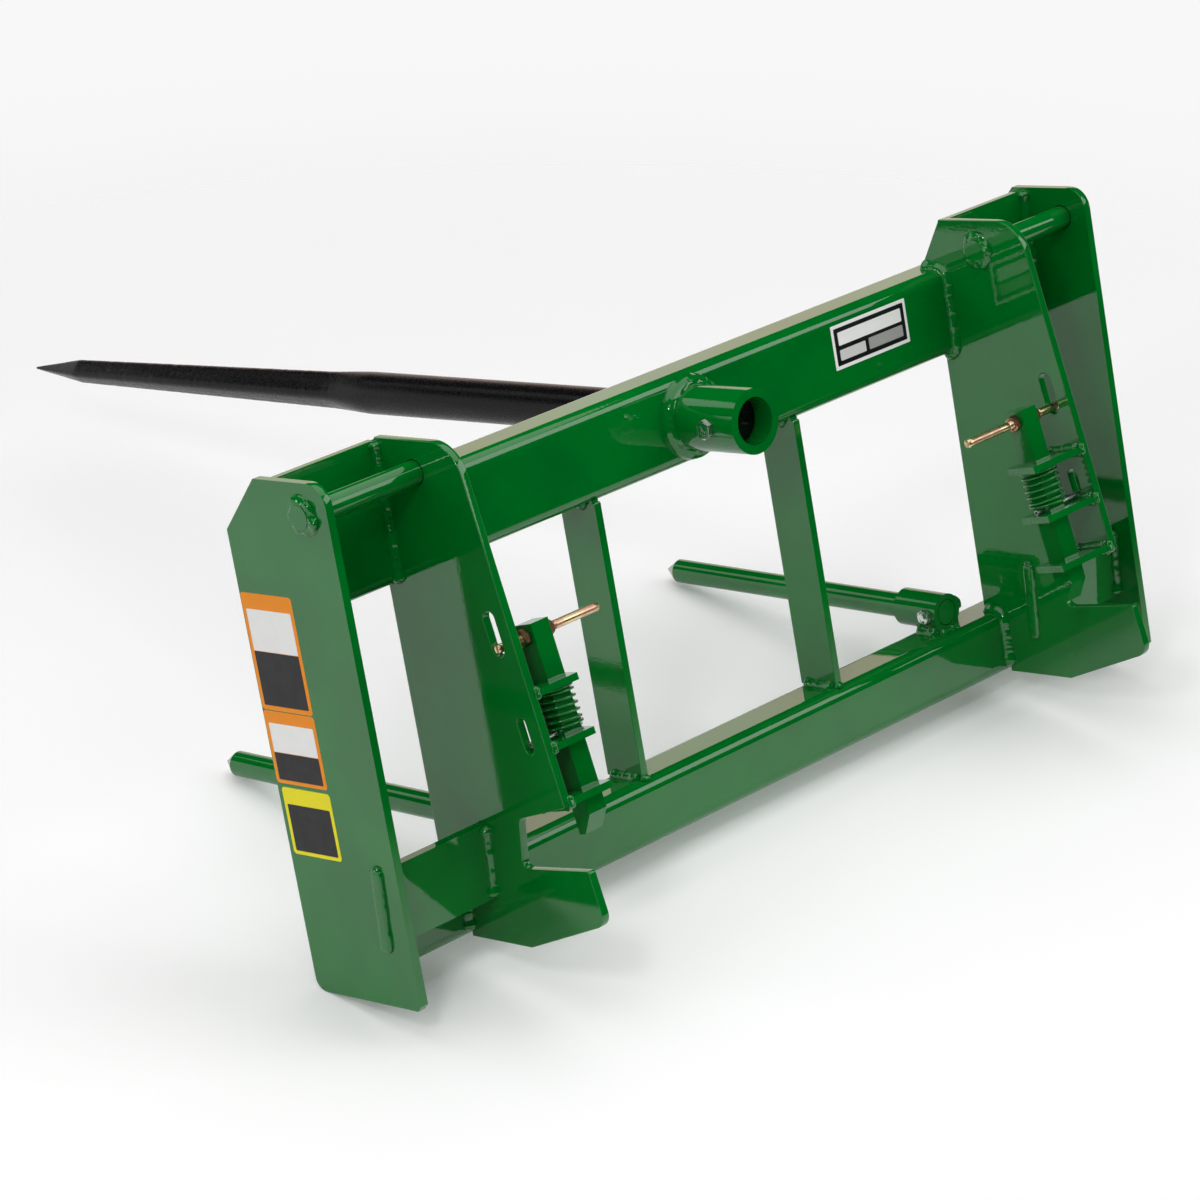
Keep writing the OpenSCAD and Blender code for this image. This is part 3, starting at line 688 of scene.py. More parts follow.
def dress(
    piece: Piece, material: Material, body: str = "carrier"
) -> Piece:
    """Gives a piece its finish and its body.

    Args:
        piece: Object made here.
        material: Finish.
        body: CAD body that it rides on.

    Returns:
        The piece.
    """
    piece.data.materials.clear()
    piece.data.materials.append(material)
    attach(piece, body)
    LOG.info("%s on %s, %d points", piece.name, body, len(piece.data.vertices))
    return piece


# Welds


class Profile(Enum):
    """Section of a weld bead: a quarter turn in a corner, or a half turn on a flat."""

    FILLET = math.pi / 2
    CAP = math.pi


@dataclass(frozen=True)
class Stroke:
    """How a bead is laid, in mm and as shares of its size.

    Attributes:
        legs: Reach along e1 and along e2.
        profile: Section.
        power: Roundness of the section, hollower above 1.
        pitch: Distance between the scallops.
        ripple: Depth of the scallops.
        wander: Wander of the legs.
        lumps: Swell of the crown.
        knob: Knob where the run starts and stops.
        sunk: Depth below the faces it lies on.
        across: Points across the section.
    """

    legs: tuple[float, float]
    profile: Profile = Profile.FILLET
    power: float = 1.2
    pitch: float = 5.5
    ripple: float = 0.03
    wander: float = 0.09
    lumps: float = 0.04
    knob: float = 0.25
    sunk: float = 0.6
    across: int = 13


BACK_FILLET, BACK_END = Stroke((7.0, 7.0)), Stroke((8, 8), knob=0)
TUBE_FILLET, OUTER_TUBE_FILLET = Stroke((8.0, 8.0)), Stroke((6.5, 6.5))
HOOK_BAR_RING = Stroke((8.5, 6.2), power=1.0, pitch=12.0, lumps=0.28, wander=0.2, ripple=0.12)
SOCKET_RING = Stroke((10.0, 11.5), power=1.1, pitch=28.0, lumps=0.05, ripple=0.05)
SOCKET_FRONT_RING = Stroke((8.0, 7.0))
SLOT_CAP = Stroke(
    (7.8, 4.4), Profile.CAP, power=0.6, pitch=30.0, knob=0.0, across=19, lumps=0.02, wander=0.06
)
SLOT_CAP_END = Stroke((6.6, 6.4), Profile.CAP, power=0.9, knob=0, across=15)
STOP_FILLET = Stroke((7.2, 6.0), power=1.05, pitch=26.0, knob=0.35, ripple=0.015, lumps=0.02)
UPRIGHT_FILLET, UPRIGHT_END = Stroke((6.0, 7.0)), Stroke((4.0, 5.0), knob=0)
UPRIGHT_FILL = Stroke((5.5, 4.5), knob=0, sunk=2.5)
COLLAR_FILLET, COLLAR_END = Stroke((6.0, 8.0)), Stroke((5.0, 5.0), lumps=0.2)
GUIDE_OVER, GUIDE_UNDER = Stroke((4.4, 4.4)), Stroke((4.0, 4.0))
GUIDE_LUMP = Stroke((3.6, 2.4), Profile.CAP, power=0.9, lumps=0.3)


@dataclass
class Bead:
    """One run of weld along a path.

    The section turns from e1 to e2 (FILLET) or on to -e1 (CAP): at angle t it lies at
    leg1 * cos(t)^power along e1 and leg2 * sin(t)^power along e2. Each leg has slow waves of its
    own, so both toes wander, the hand's stops swell the crown, faint scallops like stacked coins
    lag in the middle, and knobs stand where the run starts and stops.
    """

    path: np.ndarray
    e1: np.ndarray
    e2: np.ndarray
    stroke: Stroke
    closed: bool
    seed: int

    def grid(self) -> np.ndarray:
        """Works out the bead's skin.

        Returns:
            Bench points, stations along the run by points round the section.
        """
        stroke, path = self.stroke, np.asarray(self.path, float)
        e1, e2 = np.broadcast_to(self.e1, path.shape), np.broadcast_to(self.e2, path.shape)
        step = np.linalg.norm(np.diff(path, axis=0), axis=1)
        run = np.concatenate([[0], np.cumsum(step)])
        total = run[-1] + (step[-1] if self.closed else 0)
        length = [42.0, 31.0, 17.0]
        if self.closed:
            length = [total / round(max(1, total / size)) for size in length]
        beats = max(2, round(total / stroke.pitch))
        u = np.linspace(0, 1, stroke.across)
        middle = 1 - (2 * u - 1) ** 2
        lag = run[:, None] / total * beats - 0.4 * middle
        scallop = np.abs(np.sin(np.pi * lag)) ** 0.8
        scale = 1 - stroke.ripple * (1 - scallop)
        scale = scale + stroke.lumps * self.wave(run, total, length[2], 5)[:, None] * middle
        if not self.closed:
            far = np.minimum(run, run[-1] - run) / max(stroke.legs)
            near = np.clip(far, 0, 1)
            scale = scale + stroke.knob * np.exp(-((far - 0.8) ** 2) * 2.2)[:, None]
            scale = scale * np.sqrt(np.clip(near * (2 - near), 0.02, 1))[:, None]
        legs = [
            leg * (1 + stroke.wander * self.wave(run, total, length[k], 11 * k + 1))
            for k, leg in enumerate(stroke.legs)
        ]
        turn = u * stroke.profile.value
        cos, sin = np.cos(turn), np.sin(turn)
        out1 = scale * legs[0][:, None] * np.sign(cos) * np.abs(cos) ** stroke.power
        out2 = scale * legs[1][:, None] * np.abs(sin) ** stroke.power
        face = path[:, None] + out1[..., None] * e1[:, None] + out2[..., None] * e2[:, None]
        sunk1, sunk2 = stroke.sunk * e1, stroke.sunk * e2
        if stroke.profile is Profile.FILLET:
            floor = [face[:, -1] - sunk1, path - stroke.sunk * (e1 + e2), face[:, 0] - sunk2]
        else:
            floor = [face[:, -1] - sunk2, face[:, 0] - sunk2]
        return np.concatenate([face, np.stack(floor, 1)], 1)

    def wave(self, run: np.ndarray, total: float, length: float, salt: int) -> np.ndarray:
        """Wander along the run. A closed one is read on a circle, so that its ends meet.

        Args:
            run: Distances along the run in mm.
            total: Length of the run.
            length: Longest wave in mm.
            salt: Tells one wander of the bead from another.

        Returns:
            Wander between about -1 and 1.
        """
        if not self.closed:
            return waves(run, length, self.seed + salt)
        order = round(total / length)
        rates = np.array([order, order + 1, 2 * order + 1])
        return wander(TURN * run / total, rates, [0.5, 0.35, 0.15], self.seed + salt)

    def build(self, name: str) -> Piece:
        """Makes the bead as an object called name."""
        return skin(name, bench(self.grid()), ring=self.closed, sharp_deg=60.0)


@dataclass
class Welder:
    """Collects the beads of one place and joins them into one piece."""

    name: str
    beads: list[Bead] = field(default_factory=list)

    def add(
        self, path: np.ndarray, e1: ArrayLike, e2: ArrayLike, stroke: Stroke, closed: bool = False
    ) -> None:
        """Keeps a bead, whose seed is its number."""
        e1, e2 = np.array(e1, float), np.array(e2, float)
        self.beads.append(Bead(path, e1, e2, stroke, closed, seed=len(self.beads) + 3))

    def run(
        self, start: ArrayLike, end: ArrayLike, e1: ArrayLike, e2: ArrayLike, stroke: Stroke
    ) -> None:
        """Adds a straight bead from start to end."""
        start, end = np.array(start, float), np.array(end, float)
        count = max(10, int(np.linalg.norm(end - start) / STATION))
        self.add(start + (end - start) * np.linspace(0, 1, count)[:, None], e1, e2, stroke)

    def ring(self, centre: ArrayLike, axis: ArrayLike, radius: float, stroke: Stroke) -> None:
        """Adds a closed bead round a bar: e1 points from the axis outwards, e2 along it."""
        axis = np.array(axis, float)
        side = np.cross(axis, (0.0, 0.0, 1.0))
        side /= np.linalg.norm(side)
        up = np.cross(side, axis)
        count = int(TURN * radius / STATION)
        angle = np.arange(count) * TURN / count
        spoke = np.cos(angle)[:, None] * side + np.sin(angle)[:, None] * up
        self.add(np.array(centre, float) + radius * spoke, spoke, axis, stroke, closed=True)

    def around(self, x: float, corners: list[tuple], e2x: float, stroke: Stroke) -> None:
        """Adds a bead along a tube's outline on the plane at x: corners are (y, z) points, passed
        with the tube on the right, so that the left normal leads out along the plate."""
        path, left = rounded_path(corners, TUBE_R)
        path3 = np.column_stack([np.full(len(path), x), path])
        e1 = np.column_stack([np.zeros(len(path)), left])
        self.add(path3, e1, (e2x, 0, 0), stroke)

    def finish(self) -> None:
        """Joins the beads and dresses them."""
        made = [bead.build(f"{self.name}_{k}") for k, bead in enumerate(self.beads)]
        dress(join(self.name, made), Paint.BEAD.material)


# Sub-assemblies


@dataclass
class InnerPlate:
    """One inner side plate, cut anew to the source's outline, because the photograph shows its pin
    slot shorter and wider than the solid has it. Slots are (low end, high end, width) along the
    latch, and the other measures are the source's."""

    name: str
    side: int
    height: float = 549.0
    nose_cut: float = 36.0
    rear: float = 187.0
    top_r: float = 40.0
    heel_z: float = 176.0
    roof_z: float = 156.0
    floor_z: float = 101.0
    throat_y: float = 186.0
    throat_r: float = 8.0
    arm_reach: float = 276.0
    arm_top: float = 111.0
    arm_low: float = 55.0
    arm_root: float = 170.0
    arm_top_r: float = 3.0
    arm_r: float = 15.0
    handle_slot: tuple[float, float, float] = (0.0, 31.0, 17.0)
    pin_slot: tuple[float, float, float] = (-104.6, -78.7, 12.4)
    edge: float = 0.8

    def outline(self) -> np.ndarray:
        """Outline anticlockwise from the root of the hook arm, as bench (y, z) points."""
        tube_r, fall = TUBE_R + FIT, (self.height - self.heel_z) * math.tan(LATCH.tilt)
        lower_rear, lower_top = LOWER_REAR - FIT, LOWER_TOP + FIT
        upper_rear, upper_low, upper_top = UPPER_REAR - FIT, UPPER_LOW - FIT, UPPER_TOP + FIT
        throat_floor = -self.throat_y + (self.roof_z - self.floor_z) / 7
        arm_end = -self.arm_reach - (self.arm_top - self.arm_low) / 5
        return rounded_loop([
            ((-self.arm_root, LOWER_LOW), 0), ((lower_rear, LOWER_LOW), 0),
            ((lower_rear, lower_top), tube_r), ((INNER_FRONT, lower_top), 0),
            ((INNER_FRONT, upper_low), 0), ((upper_rear, upper_low), tube_r),
            ((upper_rear, upper_top), tube_r), ((NOSE_FRONT, upper_top), 0),
            ((NOSE_FRONT - self.nose_cut, self.height), 0), ((-self.rear, self.height), self.top_r),
            ((-self.rear - fall, self.heel_z), 0), ((-self.throat_y, self.roof_z), self.throat_r),
            ((throat_floor, self.floor_z), self.throat_r),
            ((-self.arm_reach, self.arm_top), self.arm_top_r),
            ((arm_end, self.arm_low), self.arm_r),
        ])

    def build(self) -> None:
        """Cuts the plate in place of its CAD node."""
        half, far = STOP_H / 2 + FIT, STOP_T + FIT
        bar_slot = STOP.at([-FIT, -FIT, far, far], [-half, half, half, -half])
        turn = np.linspace(0, TURN, 64, endpoint=False)[::-1]
        circle = (HOOK_BAR_D / 2 + FIT) * np.stack([np.cos(turn), np.sin(turn)], -1)
        holes = [bar_slot, np.array([-HOOK_BAR_Y, HOOK_BAR_Z]) + circle]
        for low, high, width in (self.handle_slot, self.pin_slot):
            holes.append(slot_loop(LATCH.at(0, low), LATCH.at(0, high), width))
        faces = (self.side * INNER_IN, self.side * INNER_OUT)
        piece = cut_plate(f"{self.name}_slotted_plate", *faces, [self.outline(), *holes], self.edge)
        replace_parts(dress(piece, Paint.ENAMEL.material), f"{self.name}_inner_plate")


@dataclass
class Carrier:
    """One half of the welded frame: softens the plates' edges and lays the weld beads."""

    name: str
    side: int
    edge: float = 0.9
    slot_cap: float = 46.0
    slot_cap_top: float = 40.0

    def soften(self) -> None:
        """Rounds the flat bars' and plates' edges by a bevel, as blasting and thick paint do."""
        for part in ("outer_plate", "back_plate", "upright_bar"):
            piece = frame["nodes"][f"{self.name}_{part}"]
            weld = piece.modifiers.new("merge", "WELD")
            weld.merge_threshold = 0.01 * MM
            bevel = piece.modifiers.new("edge", "BEVEL")
            bevel.width = self.edge * MM
            bevel.segments = 2
            bevel.limit_method = "ANGLE"
            bevel.angle_limit = math.radians(38)
            bevel.harden_normals = False
            bevel.use_clamp_overlap = True

    def clearance(self) -> None:
        """Draws painted shade as a dark ring round a hook bar where it passes the plates' unwelded
        sides.
        """
        turn = np.linspace(0, TURN, 72, endpoint=False)[:, None]
        r, out = np.array([12.6, 13.7, 13.7, 12.6]), np.array([-0.2, -0.2, 0.12, 0.12])
        made = []
        for x, way in INSIDE:
            face = np.broadcast_to(self.side * x + way * self.side * out, (len(turn), len(r)))
            rim = -HOOK_BAR_Y + r * np.cos(turn), HOOK_BAR_Z + r * np.sin(turn)
            grid = bench(np.stack([face, *rim], -1))
            made.append(skin(f"{self.name}_bar_gap", grid, ring=True, sharp_deg=30))
        # Painted shade: the joined dark rings stand in for the shadow in the gap.
        dress(join(f"{self.name}_hook_bar_gaps", made), Paint.PAINTED_GAP_SHADE.material)

    def weld_plates(self) -> None:
        """Lays the beads of the hook bar, the back plate and both tubes on the side plates."""
        bars = Welder(f"{self.name}_hook_bar_welds")
        for x, way in OUTSIDE:
            centre = (self.side * x, -HOOK_BAR_Y, HOOK_BAR_Z)
            bars.ring(centre, (way * self.side, 0, 0), HOOK_BAR_D / 2, HOOK_BAR_RING)
        bars.finish()

        backs = Welder(f"{self.name}_back_plate_welds")
        for x, way in INSIDE[::-1]:
            x, into = self.side * x, ((way * self.side, 0, 0), (0, -1, 0))
            foot, top = (x, UPPER_REAR, UPPER_LOW + 1), (x, UPPER_REAR, BACK_PLATE_TOP + 1)
            backs.run(foot, top, *into, BACK_FILLET)
            blob = (x, UPPER_REAR + 2, UPPER_LOW + 9)
            backs.run(blob, np.add(blob, (0, 0, -9)), *into, BACK_END)
        backs.finish()

        tubes = Welder(f"{self.name}_tube_welds")
        upper = [
            (INNER_FRONT - 1, UPPER_LOW), (UPPER_REAR, UPPER_LOW), (UPPER_REAR, UPPER_TOP),
            (NOSE_FRONT - 1, UPPER_TOP),
        ]
        lower = [(LOWER_REAR, LOWER_LOW + 6), (LOWER_REAR, LOWER_TOP), (INNER_FRONT - 1, LOWER_TOP)]
        outer_low = [
            (LOWER_REAR, LOWER_LOW + 4), (LOWER_REAR, LOWER_TOP), (LOWER_FRONT, LOWER_TOP),
            (LOWER_FRONT, LOWER_LOW + 4),
        ]
        outer_up = [
            (UPPER_REAR + 12, UPPER_TOP), (UPPER_FRONT, UPPER_TOP), (UPPER_FRONT, UPPER_LOW),
            (UPPER_REAR, UPPER_LOW),
        ]
        for x, corners, way, stroke in (
            (INNER_IN, upper, -1, TUBE_FILLET), (INNER_IN, lower, -1, TUBE_FILLET),
            (INNER_OUT, lower, 1, TUBE_FILLET), (OUTER_IN, outer_low, -1, OUTER_TUBE_FILLET),
            (OUTER_IN, outer_up, -1, OUTER_TUBE_FILLET),
        ):
            tubes.around(self.side * x, corners, way * self.side, stroke)
        tubes.finish()

    def weld_stop_bar(self) -> None:
        """Caps the slots through which the stop bar passes both plates and welds it inside."""
        caps = Welder(f"{self.name}_stop_bar_welds")
        for x, way in OUTSIDE:
            out = (way * self.side, 0, 0)
            centre = np.array([self.side * x, *STOP.at(2.4, 0)])
            reach, top = self.slot_cap * STOP.up, centre + self.slot_cap_top * STOP.up
            caps.run(centre - reach, centre + reach, STOP.forward, out, SLOT_CAP)
            caps.run(top, top + 9 * STOP.up, STOP.forward, out, SLOT_CAP_END)
        for x, way in INSIDE:
            for across, e2 in ((0, -STOP.forward), (STOP_T, STOP.forward)):
                low = np.array([self.side * x, *STOP.at(across, -STOP_H / 2 + 1)])
                high = low + (STOP_H - 2) * STOP.up
                caps.run(low, high, (way * self.side, 0, 0), e2, STOP_FILLET)
        caps.finish()

    def build(self) -> None:
        """Softens the half's edges, lays its welds and cuts its inner plate."""
        self.soften()
        self.weld_plates()
        self.weld_stop_bar()
        self.clearance()
        InnerPlate(self.name, self.side).build()


@dataclass
class Uprights:
    """The beads at both ends of the two upright bars between the tubes.

    A seat is the face of a tube that a bar ends on: its z, the way up or down from it along the
    bar, and the rear and front end of its beads.
    """

    x: float = 154.5
    thick: float = 9.5
    foot_y: float = -71.9
    foot_reach: float = 6.5
    head_y: float = -66.5
    head_reach: float = 5.0
    seats: tuple[tuple[float, int, float, float], ...] = (
        (UPPER_LOW, -1, -60.0, -22.0), (LOWER_TOP, 1, -69.0, -24.0)
    )

    def build(self) -> None:
        """Lays the beads."""
        ends = Welder("upright_bar_welds")
        for side in SIDES.values():
            for way in (1, -1):
                x = side * (self.x + way * self.thick / 2)
                for z, up, rear, front in self.seats:
                    into = ((side * way, 0, 0), (0, 0, up))
                    ends.run((x, rear, z), (x, front, z), *into, UPRIGHT_FILLET)
        for side in SIDES.values():
            foot, head = (
                [(side * (self.x + way * reach), y, z) for way in (-1, 1)]
                for reach, y, z in (
                    (self.foot_reach, self.foot_y, LOWER_TOP),
                    (self.head_reach, self.head_y, UPPER_LOW + 1),
                )
            )
            ends.run(*foot, (0, -1, 0), (0, 0, 1), UPRIGHT_END)
            ends.run(*head, (0, -1, 0), (0, 0, -1), UPRIGHT_FILL)
        ends.finish()


@dataclass
class SpearMount:
    """The socket on the upper tube, its ring weld, its cross bolt and the forged main spear."""

    rear: float = -143.5
    shank: float = 580.0
    blend: float = 90.0
    length: float = 1228.0
    point: float = 92.0
    shank_d: float = 49.0
    root: float = 39.0
    tip: float = 26.0
    valley: float = 0.95
    ridge: float = 0.17
    dent: float = 0.18
    long_mark: float = 85.0
    short_mark: float = 34.0
    socket_r: float = 35.5
    bolt_y: float = -129.5

    def spear(self) -> None:
        """Draws out the spear as one skin of rings along y.

        The ring's half height falls smoothly from the shank's to the blade's and then evenly to
        the point. Round the ring the blade stands out by a power of |cos 2a| at four ridges, and
        slow waves of a tenth of a millimetre leave the marks of the hammer.
        """
        start, cone = self.shank + self.blend, self.length - self.point
        y = np.concatenate([
            [0.0, 0.6, 1.6], np.linspace(4, self.shank, 60),
            np.linspace(self.shank, start, 40)[1:], np.linspace(start, cone, 180)[1:],
            np.linspace(cone, self.length, 60)[1:],
        ])
        share = np.clip((y - self.shank) / self.blend, 0, 1)
        share = share * share * (3 - 2 * share)
        blade = np.interp(y, [start, cone], [self.root / 2, self.tip / 2])
        blade = np.where(y < start, self.root / 2, blade)
        half = (self.shank_d / 2 - 0.05) * (1 - share) + blade * share
        t = np.clip((y - cone) / self.point, 0, 1)
        half = np.where(y > cone, self.tip / 2 * (1 - 0.9 * t), half)
        half = half - np.interp(y, [0, 1.6], [1.6, 0])
        a = np.linspace(0, TURN, 96, endpoint=False)
        blade_form = self.valley + self.ridge * np.abs(np.cos(2 * a)) ** 3
        around = 1 + share[:, None] * (blade_form[None] - 1)
        marks = ((self.long_mark, 3), (self.short_mark, 8))
        long, short = (waves(y, size, seed)[:, None] for size, seed in marks)
        dent = (long * np.cos(4 * a) + short * np.sin(2 * a + 1)) * self.dent
        radius = half[:, None] * around
        radius = radius - np.abs(dent) * share[:, None] * np.minimum(1, half / 6)[:, None]
        along = np.broadcast_to(y[:, None], radius.shape) + self.rear
        ring = np.stack([radius * np.sin(a), along, radius * np.cos(a)], -1)
        piece = skin("forged_main_spear", bench(ring + (0, 0, UPPER_MID)), sharp_deg=50)
        dress(piece, Paint.FORGED.material)
        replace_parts(piece, "main_spear")

    def build(self) -> None:
        """Makes the spear, the socket's welds and the cross bolt."""
        self.spear()
        ring = Welder("socket_welds")
        ring.ring((0, UPPER_REAR, UPPER_MID), (0, -1, 0), self.socket_r, SOCKET_RING)
        ring.ring((0, UPPER_FRONT, UPPER_MID), (0, 1, 0), self.socket_r, SOCKET_FRONT_RING)
        ring.finish()
        head = (-self.socket_r, self.bolt_y, UPPER_MID)
        bolt = CrossBolt("socket_cross_bolt", head, 2 * self.socket_r)
        bolt.build("spear_bolt", "spear_nut")


@dataclass
class CrossBolt:
    """Hexagon bolt and nut along x through a socket or collar that is through across, with a
    chamfered head and a thread. head is the place under its head."""

    name: str
    head: tuple[float, float, float]
    through: float
    head_af: float = 19.0
    head_h: float = 7.5
    shank_d: float = 12.0
    nut_h: float = 10.0
    past: float = 2.0
    pitch: float = 1.75

    def build(self, bolt_node: str, nut_node: str) -> None:
        """Makes the bolt and its nut in place of their CAD nodes."""
        end = self.through + self.nut_h + self.past
        head = hexagon(self.head_af, self.head_h, 0.0) * (1, 1, -1)
        shank = thread(self.shank_d, 0.0, end, [(self.through - 1, end)], self.pitch)
        made = [
            skin("head", self.place(head), sharp_deg=30),
            skin("shank", self.place(shank), sharp_deg=50),
        ]
        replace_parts(dress(join(self.name, made), Paint.ZINC.material), bolt_node)
        nut = hexagon(self.head_af, self.nut_h, self.shank_d + 0.4) + (0, 0, self.through)
        piece = skin(f"{self.name}_nut", self.place(nut), ring=True, sharp_deg=30)
        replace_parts(dress(piece, Paint.NUT.material), nut_node)

    def place(self, local: np.ndarray) -> np.ndarray:
        """Turns local points, z being along the bolt from under its head, into the row's frame."""
        return bench(np.array(self.head) + local[..., [2, 0, 1]])


def hexagon(af: float, height: float, bore: float) -> np.ndarray:
    """Skin of a chamfered hexagon from z = 0 to height.

    The rim's distance from the axis is af / 2 over the cosine of the angle from the nearest flat.
    Each face end is turned to a circle by a 30 degree cone, so the corners are cut in curves.

    Args:
        af: Width across the flats.
        height: Height.
        bore: Bore, or 0 for a solid head.

    Returns:
        Rows of closed sections: open ended for a head, to be closed as a ring for a nut.
    """
    a = np.linspace(0, TURN, 96, endpoint=False)
    rim = af / 2 / np.cos((a + np.pi / 6) % (np.pi / 3) - np.pi / 6)
    face = np.full_like(a, af / 2 * 0.96)
    drop = (rim - face) * math.tan(math.radians(30))
    rows = [(face, 0), (rim, drop), (rim, height - drop), (face, height)]
    if bore > 0:
        hole = np.full_like(a, bore / 2)
        mouth, lip = hole + 0.5, 0.4
        rows = [(hole, lip), (mouth, 0), *rows, (mouth, height), (hole, height - lip)]
    return np.stack([np.stack([r * np.cos(a), r * np.sin(a), z + 0 * a], -1) for r, z in rows])


def thread(d: float, start: float, end: float, cut: list[tuple], pitch: float) -> np.ndarray:
    """Skin of a rod along z, threaded where asked.

    In a threaded length the radius falls by a rounded tooth of the fraction z / pitch minus the
    turn, so the crest climbs one pitch a turn; the ends are chamfered.

    Args:
        d: Diameter.
        start: Lower end.
        end: Upper end.
        cut: Threaded lengths.
        pitch: Pitch, drawn a little coarse so that it shows.

    Returns:
        Rows of closed sections.
    """
    parts = [
        np.array([start, start + 0.02 * d, start + 0.12 * d]),
        np.array([end - 0.12 * d, end - 0.02 * d, end]),
        *(np.arange(lo, hi, pitch / 8) for lo, hi in cut),
        np.linspace(start + 0.12 * d, end - 0.12 * d, 24),
    ]
    z = np.unique(np.clip(np.concatenate(parts), start, end).round(4))
    a = np.linspace(0, TURN, 40, endpoint=False)
    tooth = np.abs(((z[:, None] / pitch - a / TURN) % 1) * 2 - 1) ** 1.3
    inside = np.zeros_like(z)
    for lo, hi in cut:
        run_out = np.clip((z - lo) / pitch, 0, 1) * np.clip((hi - z) / pitch, 0, 1)
        inside = np.maximum(inside, run_out)
    near = np.minimum(z - start, end - z)
    radius = d / 2 - np.clip(1 - near / (0.12 * d), 0, 1) * 0.12 * d
    radius = radius[:, None] - 0.55 * pitch * inside[:, None] * tooth
    radius = np.maximum(radius, d * 0.2)
    return np.stack([
        radius * np.cos(a), radius * np.sin(a), np.broadcast_to(z[:, None], radius.shape)
    ], -1)


@dataclass
class Stabiliser:
    """One short spear in its collar on the lower tube: bare point, cross bolt and saddle welds."""

    name: str
    side: int
    x: float = 352.5
    rear: float = -63.0
    axis_z: float = 108.3
    tilt_deg: float = 2.0
    bolt_in: float = 13.0
    collar_d: float = 43.0
    saddle: float = 17.2

    def build(self) -> None:
        """Dresses the spear and makes its bolt and welds."""
        node = frame["nodes"][f"{self.name}_stabiliser"]
        node.data.materials.clear()
        node.data.materials.append(Paint.TIP.material)
        tilt, x = math.radians(self.tilt_deg), self.side * self.x
        y = self.rear + self.bolt_in * math.cos(tilt)
        z = self.axis_z + self.bolt_in * math.sin(tilt)
        head = (x - self.collar_d / 2, y, z)
        bolt = CrossBolt(f"{self.name}_collar_bolt", head, self.collar_d, head_af=15.5, head_h=6.0)
        bolt.build(f"{self.name}_stabiliser_bolt", f"{self.name}_stabiliser_nut")
        welds = Welder(f"{self.name}_collar_welds")
        for way in (-1, 1):
            rear = (x + way * self.saddle, self.rear + 1, LOWER_TOP)
            front = (x + way * self.saddle, LOWER_FRONT - 12, LOWER_TOP)
            welds.run(rear, front, (way, 0, 0), (0, 0, 1), COLLAR_FILLET)
        ends = [(x + reach, self.rear, LOWER_TOP) for reach in (-16, 16)]
        welds.run(*ends, (0, -1, 0), (0, 0, 1), COLLAR_END)
        welds.finish()


